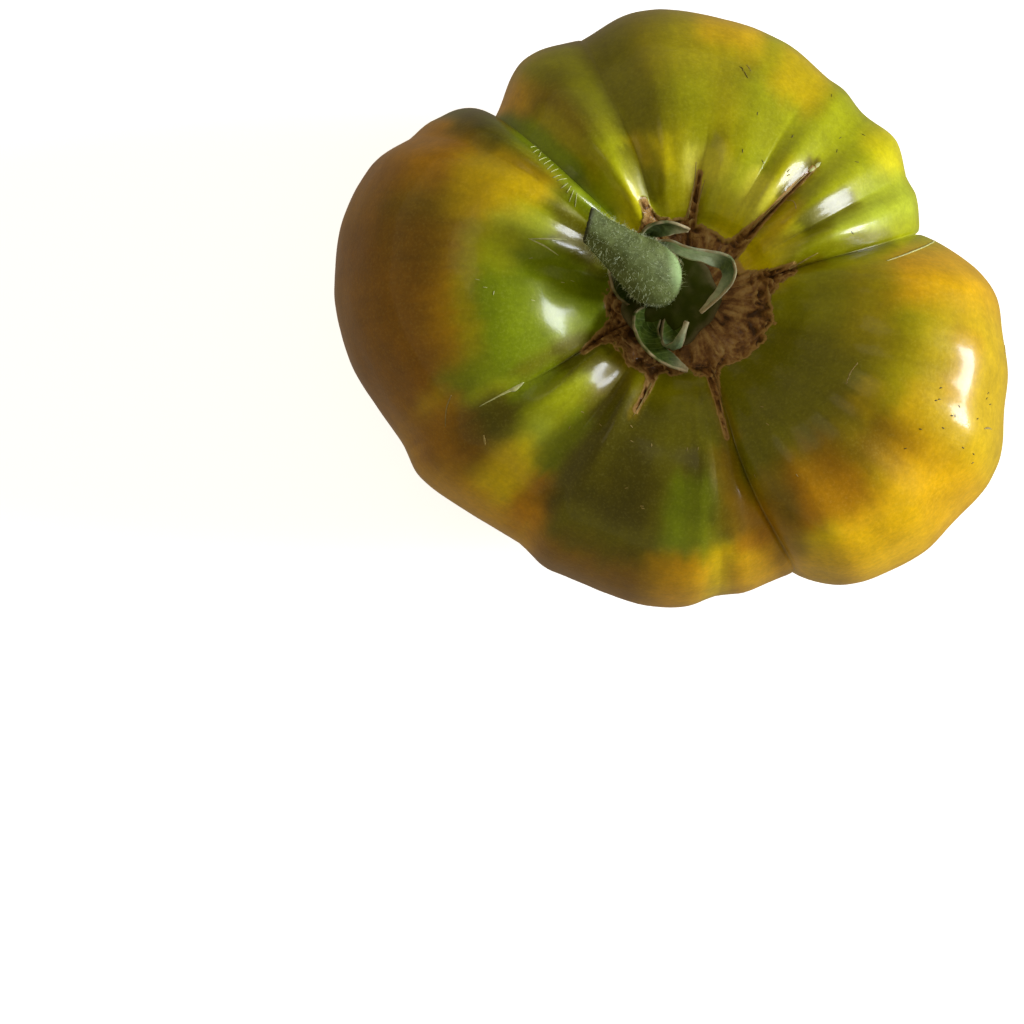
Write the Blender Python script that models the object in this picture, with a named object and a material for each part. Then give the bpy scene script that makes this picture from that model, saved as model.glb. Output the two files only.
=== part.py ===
"""A ribbed beefsteak tomato as picked: the lobed fruit, its calyx of five sepals and its cut stub of stem.

Metres, +Z up. The origin is the middle of the flat spot that the fruit rests on, straight below its scar.
Angles run anticlockwise from +X, seen from above. Lengths in the tables are in millimetres.
"""

import math
from collections import namedtuple

import bmesh
import bpy
from mathutils import Vector

MM = 0.001

# The fruit's outline from the stem scar over the shoulder to the foot, as (share of the girth radius,
# height). The scar floor is the first point, the widest place is at GIRTH_STATION, and the last two span
# the flat foot.
MEAN_GIRTH = 50.0
SCAR_FLOOR = 53.0
GIRTH_STATION = 8
PROFILE = [
    (0.00, SCAR_FLOOR),
    (0.19, SCAR_FLOOR + 0.1),
    (0.265, SCAR_FLOOR + 2.0),
    (0.355, 59.2),
    (0.48, 63.2),
    (0.63, 64.0),
    (0.81, 59.2),
    (0.945, 47.5),
    (1.00, 33.5),
    (0.945, 18.8),
    (0.79, 6.6),
    (0.56, 1.2),
    (0.30, 0.0),
    (0.00, 0.0),
]
# How far a furrow cuts in at each point of that outline, as a share of its own depth.
FURROW_SHARE = [0.0, 0.1, 0.5, 0.95, 1.0, 1.0, 1.0, 1.0, 1.0, 0.8, 0.5, 0.25, 0.0, 0.0]
# How far the girth's swells and a lobe's extra height are felt at each point.
GIRTH_SHARE = [0.0, 0.0, 0.15, 0.4, 0.65, 0.85, 1.0, 1.0, 1.0, 1.0, 0.9, 0.7, 0.5, 0.0]
HEIGHT_SHARE = [0.0, 0.0, 0.2, 0.7, 1.0, 1.0, 0.8, 0.4, 0.1, 0.0, 0.0, 0.0, 0.0, 0.0]
HEART = Vector((0.0, 0.0, 30.0))
RINGS_PER_STEP = 3

# Crown of each swell round the girth, as (angle, radius of the fruit there).
SWELLS = [
    (2, 50.7),
    (24, 42.4),
    (38, 44.1),
    (52, 44.3),
    (72, 46.4),
    (95, 48.3),
    (121, 47.5),
    (131, 48.1),
    (140, 48.7),
    (153, 54.2),
    (168, 56.3),
    (188, 54.2),
    (200, 51.7),
    (213, 49.7),
    (224, 47.2),
    (248, 47.1),
    (268, 48.0),
    (285, 47.0),
    (302, 53.0),
    (316, 55.4),
    (333, 56.6),
    (350, 52.9),
]
# Extra height of the shoulder round the fruit, as (angle, height).
RISES = [
    (0, 0.0),
    (30, -3.0),
    (75, -3.0),
    (115, -1.5),
    (142, 1.0),
    (185, 2.5),
    (220, -1.0),
    (262, -1.5),
    (325, 1.5),
]
# Where the shoulder falls away early, as (angle, share), and the height that this adds at each point of
# the outline.
FALLS = [
    (0, 0.1),
    (14, 0.8),
    (28, 1.0),
    (60, 1.0),
    (95, 0.7),
    (125, 0.7),
    (137, 0.2),
    (152, 0.0),
    (200, 0.0),
    (218, 0.5),
    (240, 0.4),
    (265, 0.3),
    (288, 0.1),
    (310, 0.0),
]
FALL_HEIGHTS = [0.0, 0.0, 2.2, 1.8, -1.4, -5.2, -6.6, -3.2, 0.0, 0.0, 0.0, 0.0, 0.0, 0.0]

# A furrow runs from the scar over the shoulder and down the side. angles: at the scar, the shoulder and the
# girth. depths: on the shoulder and at the girth. fades: the outline point by which the first has become the
# second, and by which a furrow that ends short of the girth has opened out into a soft dip.
# clockwise and anticlockwise: (width in degrees, tightness) of its two banks, from 0 for a soft dip to 1 for
# a fold.
Furrow = namedtuple("Furrow", "name angles depths fades clockwise anticlockwise")
FURROWS = [
    Furrow("east fold", (14, 15, 17.6), (5.5, 4.6), 8, (20, 0.7), (9.5, 0.6)),
    Furrow("east groove", (30, 29.5, 30.5), (1.6, 0.5), 8, (5, 0.2), (8, 0.2)),
    Furrow("north east crack", (47, 46, 46.5), (4.2, 1.1), 5.2, (9, 0.8), (9, 1.0)),
    Furrow("north east groove", (61, 61, 57.5), (1.1, 0.6), 7, (7, 0.2), (12, 0.6)),
    Furrow("north crack", (88, 85, 84), (2.8, 0.3), 4.5, (9, 0.6), (12, 0.6)),
    Furrow("north groove", (116, 112, 110.5), (2.8, 1.7), 8, (12, 0.15), (10, 0.4)),
    Furrow("north west fold", (135, 137.5, 135.0), (7.0, 5.4), 8, (14, 0.1), (6, 1.0)),
    Furrow("west rib groove", (148, 146, 149), (1.2, 1.0), 8, (5, 0.1), (7, 0.1)),
    Furrow("west hollow", (152, 155, 158), (2.0, 0.1), 5, (6, 0.0), (9, 0.2)),
    Furrow("west dip", (169, 171, 172), (1.8, 0.2), 5, (7, 0.0), (7, 0.2)),
    Furrow("south west fold", (203, 208.5, 205), (6.5, 1.2), 6, (24, 0.8), (8, 0.7)),
    Furrow("south west groove", (228, 230.5, 235.5), (3.2, 1.3), 8, (15, 0.1), (9, 0.15)),
    Furrow("south crack", (243.5, 245, 248), (2.2, 0.5), 4, (8, 0.4), (16, 0.1)),
    Furrow("south groove", (275, 276.5, 277), (1.0, 0.6), 8, (6, 0.1), (6, 0.1)),
    Furrow("south fold", (287, 285, 293.8), (6.0, 4.2), 8, (12, 0.5), (15, 0.8)),
    Furrow("south east dip", (304, 305, 308), (0.7, 0.5), 8, (9, 0.0), (9, 0.0)),
    Furrow("east lobe dip", (320, 321, 323), (0.9, 0.6), 8, (8, 0.0), (8, 0.0)),
    Furrow("east lobe groove", (338, 340, 341), (1.0, 0.7), 8, (8, 0.0), (8, 0.0)),
    Furrow("east rim dip", (357, 358, 356), (0.7, 0.6), 8, (8, 0.0), (8, 0.0)),
]
SHOULDER_STATION = 4.5
DEGREES_PER_COLUMN = 2.7
LEAST_COLUMNS = 4
DEEPEST_BELOW_FLOOR = 0.8

# The stem rises out of the calyx, bends over beside it and ends in a slanting cut.
STEM_SIDES = 20
STEM_STEPS = 3
STEM_BEND_SIDE = Vector((0.545, 0.84, 0.0))
STEM_CUT_AT = Vector((-16.1, 8.6, 70.0))
STEM_CUT_NORMAL = Vector((-0.96, 0.26, -0.05))
STEM_LINE = [
    # centre, half width across the bend, half width along it
    ((-5.2, 1.1, 55.9), 3.1, 3.1),
    ((-5.2, 1.1, 58.0), 3.1, 3.1),
    ((-5.4, 1.2, 60.5), 3.4, 3.3),
    ((-6.2, 1.8, 63.1), 4.3, 3.5),
    ((-8.3, 3.2, 65.4), 4.1, 3.2),
    ((-10.7, 4.7, 67.0), 3.4, 2.9),
    ((-13.2, 6.4, 68.4), 2.8, 2.6),
    ((-15.4, 7.9, 69.6), 2.4, 2.4),
    ((-18.6, 10.0, 71.3), 2.4, 2.4),
]

# The calyx is a low green cushion on the scar, and five sepals that grow out of it.
CUSHION_MIDDLE = (-3.2, 0.0)
CUSHION_RADIUS = 7.4
CUSHION_HEIGHT = 2.0
CUSHION_SIDES = 24
SEAT_GAP = 0.38
SEPAL_STEPS = 3
SEPAL_THICKNESS = 0.8

# Each sepal: points down its middle, its half width at each, and which way its upper face looks at each.
Sepal = namedtuple("Sepal", "name line widths faces arch")
SEPALS = [
    Sepal(
        "north east sepal",
        [(-2.6, 4.4, 54.3), (-4.0, 6.0, 56.6), (-4.9, 7.0, 59.4), (-4.2, 6.8, 62.0), (-1.6, 5.4, 63.5),
         (1.3, 4.6, 64.2), (4.0, 3.9, 63.7), (4.8, 2.0, 62.8), (3.5, -0.4, 61.8), (0.7, -3.1, 60.6)],
        [1.6, 1.4, 1.2, 1.0, 0.9, 1.0, 1.4, 1.4, 1.0, 0.4],
        [(0, -0.8, 0.6), (-0.1, -1, 0.4), (-0.2, -1, 0.3), (-0.3, -0.9, 0.5), (-0.3, -0.7, 1),
         (-0.1, -0.6, 1), (-0.6, -0.6, 0.9), (-1, -0.1, 0.7), (-0.8, 0.6, 0.7), (-0.7, 0.7, 0.8)],
        0.35,
    ),
    Sepal(
        "north sepal",
        [(-6.2, 5.6, 54.3), (-7.2, 6.9, 56.6), (-7.6, 8.1, 58.9), (-6.0, 9.4, 60.3), (-3.6, 9.5, 60.6),
         (-0.9, 9.1, 60.0)],
        [1.9, 2.1, 1.9, 1.8, 1.5, 0.4],
        [(0.3, -0.3, 1), (0.6, -0.4, 0.7), (0.9, -0.5, 0.4), (0.2, -1, 0.5), (-0.1, -1, 0.6),
         (-0.2, -1, 0.6)],
        0.4,
    ),
    Sepal(
        "west sepal",
        [(-9.0, 0.2, 54.2), (-10.6, 1.2, 56.7), (-11.6, 2.2, 58.8), (-12.4, 3.2, 60.2), (-12.8, 4.2, 61.0)],
        [1.7, 1.8, 1.5, 1.0, 0.4],
        [(0.3, 0, 1), (0.6, -0.2, 0.8), (0.9, -0.4, 0.5), (1, -0.2, 0.4), (1, 0, 0.4)],
        0.3,
    ),
    Sepal(
        "south west sepal",
        [(-5.6, -2.4, 54.3), (-7.3, -4.5, 56.0), (-7.2, -6.6, 57.6), (-5.6, -8.7, 58.1), (-3.1, -10.2, 57.6),
         (-0.8, -11.4, 57.0)],
        [1.4, 2.4, 2.5, 1.9, 1.2, 0.4],
        [(0.4, 0.3, 1), (0.6, 0.4, 0.8), (0.7, 0.5, 0.8), (0.6, 0.6, 0.9), (0.5, 0.6, 1), (0.4, 0.6, 1)],
        0.45,
    ),
    Sepal(
        "south sepal",
        [(-2.4, -3.6, 54.6), (-2.9, -6.0, 55.9), (-3.2, -7.9, 57.9), (-2.6, -7.6, 60.3), (-1.4, -4.6, 62.0)],
        [1.8, 1.9, 1.7, 1.2, 0.4],
        [(0, 0.1, 1), (0.1, 0.8, 0.8), (0.1, 1, 0.2), (-0.1, 0.9, -0.5), (-0.2, 0.5, -0.9)],
        0.3,
    ),
]

SKIN_COLOUR = (0.56, 0.40, 0.02, 1.0)
CALYX_COLOUR = (0.08, 0.14, 0.04, 1.0)
STEM_COLOUR = (0.13, 0.19, 0.07, 1.0)


def spline(points, step):
    """The value at step along a smooth curve through points, which are numbers or tuples of numbers."""
    last = len(points) - 1
    step = min(max(step, 0.0), float(last))
    first = min(int(step), last - 1)
    part = step - first
    near = [points[min(max(first + k, 0), last)] for k in (-1, 0, 1, 2)]
    if not isinstance(near[0], tuple):
        return catmull_rom(near, part)
    return tuple(catmull_rom(column, part) for column in zip(*near))


def catmull_rom(near, part):
    before, start, end, after = near
    return 0.5 * (
        2 * start
        + (end - before) * part
        + (2 * before - 5 * start + 4 * end - after) * part**2
        + (3 * start - before - 3 * end + after) * part**3
    )


def smooth(part):
    part = min(max(part, 0.0), 1.0)
    return part * part * (3 - 2 * part)


def around(stations, angle):
    """A smooth closed curve through (angle, value) stations, read at angle in degrees."""
    angle = angle % 360
    count = len(stations)
    following = next((i for i, station in enumerate(stations) if station[0] > angle), 0)
    near = [stations[(following + k) % count] for k in (-2, -1, 0, 1)]
    gaps = [(after[0] - before[0]) % 360 for before, after in zip(near, near[1:])]
    before, start, end, after = (value for _, value in near)
    leaving = (end - before) / (gaps[0] + gaps[1]) * gaps[1]
    arriving = (after - start) / (gaps[1] + gaps[2]) * gaps[1]
    part = ((angle - near[1][0]) % 360) / gaps[1]
    return (
        start
        + leaving * part
        + (3 * (end - start) - 2 * leaving - arriving) * part**2
        + (2 * (start - end) + leaving + arriving) * part**3
    )


def furrow_angle(furrow, station):
    """Where the furrow runs at this point of the outline, in degrees."""
    scar, shoulder, girth = furrow.angles
    if station < SHOULDER_STATION:
        return scar + (shoulder - scar) * smooth((station - 2) / (SHOULDER_STATION - 2))
    part = (station - SHOULDER_STATION) / (GIRTH_STATION - SHOULDER_STATION)
    return shoulder + (girth - shoulder) * smooth(part)


def bank(share, tightness):
    """How much of a furrow's depth is left at a share of the way up its bank."""
    fold = 1 - math.sqrt(1 - (1 - share) ** 2)
    dip = math.cos(share * math.pi / 2) ** 2
    return tightness * fold + (1 - tightness) * dip


def furrow_cut(angle, station):
    """How deep the furrows cut in at this angle and point of the outline, in millimetres."""
    cut = 0.0
    for furrow in FURROWS:
        offset = (angle - furrow_angle(furrow, station) + 180) % 360 - 180
        width, tightness = furrow.anticlockwise if offset > 0 else furrow.clockwise
        share = abs(offset) / width
        if share >= 1:
            continue
        shoulder, girth = furrow.depths
        gone = smooth((station - 3) / (furrow.fades - 3))
        if furrow.fades < GIRTH_STATION:
            tightness *= 1 - gone
        cut += (shoulder + (girth - shoulder) * gone) * bank(share, tightness)
    return cut * spline(FURROW_SHARE, station)


def skin_point(angle, station):
    """The place on the fruit's skin at this angle and point of the outline, in millimetres."""
    share, height = spline(PROFILE, station)
    girth = around(SWELLS, angle)
    radius = max(share, 0.0) * (MEAN_GIRTH + (girth - MEAN_GIRTH) * spline(GIRTH_SHARE, station))
    height += around(RISES, angle) * spline(HEIGHT_SHARE, station)
    height += around(FALLS, angle) * spline(FALL_HEIGHTS, station)
    turn = math.radians(angle)
    place = Vector((radius * math.cos(turn), radius * math.sin(turn), height))
    place += (HEART - place).normalized() * furrow_cut(angle, station)
    if station < SHOULDER_STATION:
        place.z = max(place.z, SCAR_FLOOR - DEEPEST_BELOW_FLOOR)
    if station >= len(PROFILE) - 2:
        place.z = 0.0
    return place


def column_places():
    """The mesh's columns as (furrow before, furrow after, share of the way between), closer by the folds."""
    places = []
    for index, furrow in enumerate(FURROWS):
        following = FURROWS[(index + 1) % len(FURROWS)]
        gap = (following.angles[2] - furrow.angles[2]) % 360
        count = max(LEAST_COLUMNS, round(gap / DEGREES_PER_COLUMN))
        for step in range(count):
            share = step / count
            eased = (1 - math.cos(share * math.pi)) / 2
            places.append((furrow, following, 0.5 * share + 0.5 * eased))
    return places


def column_angle(place, station):
    before, after, share = place
    start = furrow_angle(before, station)
    gap = (furrow_angle(after, station) - start) % 360
    return start + gap * share


def link(mesh, name, colour, roughness):
    """A named object holding the mesh, with its own material."""
    material = bpy.data.materials.new(name)
    material.use_nodes = True
    shader = material.node_tree.nodes["Principled BSDF"]
    shader.inputs["Base Color"].default_value = colour
    shader.inputs["Roughness"].default_value = roughness
    shader.inputs["Metallic"].default_value = 0.0
    mesh.materials.append(material)
    mesh.shade_smooth()
    node = bpy.data.objects.new(name, mesh)
    bpy.context.scene.collection.objects.link(node)
    return node


def make_fruit():
    """A sphere whose meridians follow the furrows, pressed into the lobed form."""
    columns = column_places()
    rings = (len(PROFILE) - 1) * RINGS_PER_STEP
    ball = bmesh.new()
    bmesh.ops.create_uvsphere(ball, u_segments=len(columns), v_segments=rings, radius=1.0)
    for vertex in ball.verts:
        ring = round(math.acos(min(max(vertex.co.z, -1.0), 1.0)) / math.pi * rings)
        turn = math.atan2(vertex.co.y, vertex.co.x) / math.tau
        column = columns[round(turn * len(columns)) % len(columns)]
        station = ring / RINGS_PER_STEP
        vertex.co = skin_point(column_angle(column, station), station) * MM
    bmesh.ops.triangulate(ball, faces=ball.faces, quad_method="SHORT_EDGE")
    bmesh.ops.recalc_face_normals(ball, faces=ball.faces)
    mesh = bpy.data.meshes.new("fruit")
    ball.to_mesh(mesh)
    ball.free()
    return link(mesh, "fruit", SKIN_COLOUR, 0.25)


def loft(loops, name):
    """A closed mesh over rings of points that hold the same number each, with flat caps at both ends."""
    shell = bmesh.new()
    rows = [[shell.verts.new(Vector(point) * MM) for point in loop] for loop in loops]
    for low, high in zip(rows, rows[1:]):
        for index in range(len(low)):
            after = (index + 1) % len(low)
            shell.faces.new((low[index], low[after], high[after], high[index]))
    shell.faces.new(rows[0][::-1])
    shell.faces.new(rows[-1])
    bmesh.ops.triangulate(shell, faces=shell.faces)
    bmesh.ops.recalc_face_normals(shell, faces=shell.faces)
    mesh = bpy.data.meshes.new(name)
    shell.to_mesh(mesh)
    shell.free()
    return mesh


def make_stem():
    """A tube of changing width along the bent line, cut off on the slant."""
    steps = (len(STEM_LINE) - 1) * STEM_STEPS
    centres = [point for point, _, _ in STEM_LINE]
    spans = [(across, along) for _, across, along in STEM_LINE]
    loops = []
    for step in range(steps + 1):
        station = step / STEM_STEPS
        centre = Vector(spline(centres, station))
        ahead = heading(centres, station) if step else Vector((0.0, 0.0, 1.0))
        side = (STEM_BEND_SIDE - ahead * STEM_BEND_SIDE.dot(ahead)).normalized()
        rise = ahead.cross(side)
        across, along = spline(spans, station)
        turns = [corner / STEM_SIDES * math.tau for corner in range(STEM_SIDES)]
        wide = side * across
        high = rise * along
        loops.append([centre + wide * math.cos(turn) + high * math.sin(turn) for turn in turns])
    mesh = loft(loops, "stem")
    shell = bmesh.new()
    shell.from_mesh(mesh)
    everything = shell.verts[:] + shell.edges[:] + shell.faces[:]
    bmesh.ops.bisect_plane(
        shell, geom=everything, plane_co=STEM_CUT_AT * MM, plane_no=STEM_CUT_NORMAL, clear_outer=True
    )
    bmesh.ops.contextual_create(shell, geom=[edge for edge in shell.edges if edge.is_boundary])
    bmesh.ops.triangulate(shell, faces=shell.faces)
    shell.to_mesh(mesh)
    shell.free()
    return link(mesh, "stem", STEM_COLOUR, 0.7)


def heading(line, station):
    """The direction in which a line of points runs at station."""
    return (Vector(spline(line, station + 0.1)) - Vector(spline(line, station - 0.1))).normalized()


def sepal_mesh(sepal):
    """A thin arched blade along the sepal's line, blunt at the cushion and narrow at its tip."""
    steps = (len(sepal.line) - 1) * SEPAL_STEPS
    loops = []
    for step in range(steps + 1):
        station = step / SEPAL_STEPS
        centre = Vector(spline(sepal.line, station))
        ahead = heading(sepal.line, station)
        face = Vector(spline(sepal.faces, station))
        face = (face - ahead * face.dot(ahead)).normalized()
        side = ahead.cross(face)
        half = spline(sepal.widths, station)
        upper, lower = [], []
        for across in (-1.0, -0.5, 0.0, 0.5, 1.0):
            lift = sepal.arch * half * (across * across - 0.4)
            thick = SEPAL_THICKNESS * (0.5 if abs(across) < 1 else 0.38)
            spot = centre + side * (half * across) + face * lift
            upper.append(spot + face * thick)
            lower.append(spot - face * thick)
        loops.append(upper + lower[::-1])
    return loft(loops, sepal.name)


def cushion_mesh():
    """A low dome with a flat underside, a hair's breadth clear of the scar."""
    base = SCAR_FLOOR + 0.1 + SEAT_GAP
    rows = [(0.86, 0.0), (1.0, 0.35), (0.96, 0.7), (0.74, 0.93), (0.4, 1.0)]
    loops = []
    for share, rise in rows:
        loop = []
        for corner in range(CUSHION_SIDES):
            turn = corner / CUSHION_SIDES * math.tau
            radius = CUSHION_RADIUS * share
            loop.append((
                CUSHION_MIDDLE[0] + radius * math.cos(turn),
                CUSHION_MIDDLE[1] + radius * math.sin(turn),
                base + CUSHION_HEIGHT * rise,
            ))
        loops.append(loop)
    return loft(loops, "calyx")


def make_calyx():
    """The cushion with its sepals joined on by one union."""
    calyx = link(cushion_mesh(), "calyx", CALYX_COLOUR, 0.65)
    growth = bpy.data.collections.new("sepals")
    bpy.context.scene.collection.children.link(growth)
    for sepal in SEPALS:
        growth.objects.link(bpy.data.objects.new(sepal.name, sepal_mesh(sepal)))
    join = calyx.modifiers.new("join sepals", "BOOLEAN")
    join.operation = "UNION"
    join.operand_type = "COLLECTION"
    join.collection = growth
    join.solver = "EXACT"
    join.use_self = True
    bpy.context.view_layer.update()
    evaluated = calyx.evaluated_get(bpy.context.evaluated_depsgraph_get())
    joined = bpy.data.meshes.new_from_object(evaluated)
    calyx.modifiers.clear()
    calyx.data = joined
    for blade in list(growth.objects):
        bpy.data.objects.remove(blade)
    bpy.data.collections.remove(growth)
    return calyx


def main():
    for leftover in list(bpy.data.objects):
        bpy.data.objects.remove(leftover)
    make_fruit()
    make_calyx()
    make_stem()


main()
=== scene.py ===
# Ribbed beefsteak tomato: the finish of the fruit, its calyx and its stem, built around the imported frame.
# Lengths in the tables are millimetres. Angles are degrees anticlockwise from +X, seen from above.
# A station is a place in a list of points: 0 is the first, 1.5 is half way from the second to the third.
# A layer of noise is (height, size, seed). A reach is how far out a place is from the middle of the scar.
import math

import bpy
import numpy as np
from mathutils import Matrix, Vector, noise


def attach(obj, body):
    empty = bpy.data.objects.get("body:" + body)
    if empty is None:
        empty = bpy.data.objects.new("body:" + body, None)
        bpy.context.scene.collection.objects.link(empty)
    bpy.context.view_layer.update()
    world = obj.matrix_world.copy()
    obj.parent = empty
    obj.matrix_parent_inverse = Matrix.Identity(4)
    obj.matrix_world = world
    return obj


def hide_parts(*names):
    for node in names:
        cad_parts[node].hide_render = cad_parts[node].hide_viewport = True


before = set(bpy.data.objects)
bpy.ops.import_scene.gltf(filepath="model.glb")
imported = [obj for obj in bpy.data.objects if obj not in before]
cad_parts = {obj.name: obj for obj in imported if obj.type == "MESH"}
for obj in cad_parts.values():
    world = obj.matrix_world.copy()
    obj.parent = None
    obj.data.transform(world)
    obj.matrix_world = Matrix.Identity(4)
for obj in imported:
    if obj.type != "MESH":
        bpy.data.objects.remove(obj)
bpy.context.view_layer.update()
mm = 0.001


def toLinear(hexColour):
    # an sRGB hex colour as the linear RGBA that a shader socket takes
    channels = [int(hexColour[k:k + 2], 16) / 255 for k in (1, 3, 5)]
    return [c / 12.92 if c <= 0.04045 else ((c + 0.055) / 1.055) ** 2.4 for c in channels] + [1.0]


def addNode(tree, kind, settings=None, links=None):
    # settings hold node properties, socket values and a ramp's stops, links hold socket: (node, output)
    # Some sockets go by number: a Mix blends colours 6 and 7 by 0, a Map Range turns 1 to 2 into 3 to 4
    node = tree.nodes.new("ShaderNode" + kind)
    if kind == "Mix":
        node.data_type = "RGBA"
    for key, value in (settings or {}).items():
        if isinstance(value, str) and value.startswith("#"):
            value = toLinear(value)
        if key == "stops":
            ramp = node.color_ramp.elements
            ramp[0].position, ramp[0].color = value[0][0], toLinear(value[0][1])
            ramp[1].position, ramp[1].color = value[-1][0], toLinear(value[-1][1])
            for position, colour in value[1:-1]:
                ramp.new(position).color = toLinear(colour)
        elif isinstance(key, str) and hasattr(node, key):
            setattr(node, key, value)
        else:
            node.inputs[key].default_value = value
    for key, (source, output) in (links or {}).items():
        tree.links.new(source.outputs[output], node.inputs[key])
    return node


def newMaterial(name, attributes=(), patterns=None):
    # an empty material, and a node for each vertex attribute and each noise pattern that it reads
    material = bpy.data.materials.new(name)
    material.use_nodes = True
    tree = material.node_tree
    tree.nodes.clear()
    reads = {field: addNode(tree, "Attribute", {"attribute_name": field}) for field in attributes}
    place = addNode(tree, "TexCoord") if patterns else None
    for pattern, (perMm, detail, roughness) in (patterns or {}).items():
        settings = {"Scale": perMm / mm, "Detail": detail, "Roughness": roughness}
        reads[pattern] = addNode(tree, "TexNoise", settings, {"Vector": (place, "Object")})
    return material, tree, reads


def selectOnly(piece):
    bpy.ops.object.select_all(action="DESELECT")
    piece.select_set(True)
    bpy.context.view_layer.objects.active = piece


def setAttributes(piece, **fields):
    # numbers, places or colours for every vertex, told apart by how many columns they have
    kinds = {1: ("FLOAT", "value"), 3: ("FLOAT_VECTOR", "vector"), 4: ("FLOAT_COLOR", "color")}
    for name, values in fields.items():
        values = np.asarray(values, float)
        kind, field = kinds[values.size // len(values)]
        piece.data.attributes.new(name, kind, "POINT").data.foreach_set(field, values.ravel())


def vertexPlaces(piece):
    places = np.zeros(len(piece.data.vertices) * 3)
    piece.data.vertices.foreach_get("co", places)
    return places.reshape(-1, 3)


def movePlaces(piece, places):
    piece.data.vertices.foreach_set("co", (np.asarray(places) * mm).ravel())
    piece.data.update()


def newPiece(name, points, faces):
    mesh = bpy.data.meshes.new(name)
    mesh.from_pydata([tuple(point * mm) for point in points], [], faces)
    piece = bpy.data.objects.new(name, mesh)
    bpy.context.scene.collection.objects.link(piece)
    return piece


def closeAndSmooth(piece):
    # merges vertices that lie on each other, turns every face outwards and shades the piece smooth
    selectOnly(piece)
    bpy.ops.object.mode_set(mode="EDIT")
    bpy.ops.mesh.select_all(action="SELECT")
    bpy.ops.mesh.remove_doubles(threshold=1e-4 * mm)
    bpy.ops.mesh.normals_make_consistent(inside=False)
    bpy.ops.object.mode_set(mode="OBJECT")
    bpy.ops.object.shade_smooth()


def unit(vectors):
    return vectors / np.linalg.norm(vectors, axis=1)[:, None]


def headings(line, station):
    return unit(spline(line, station + 0.1) - spline(line, station - 0.1))


def noiseAt(places, size, seed):
    # smooth noise from -1 to 1, with features about as far apart as the size
    return np.array([noise.noise(Vector(p) / size + Vector((seed, seed, seed))) for p in places])


def layered(places, layers):
    return sum(height * noiseAt(places, size, seed) for height, size, seed in layers)


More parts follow.
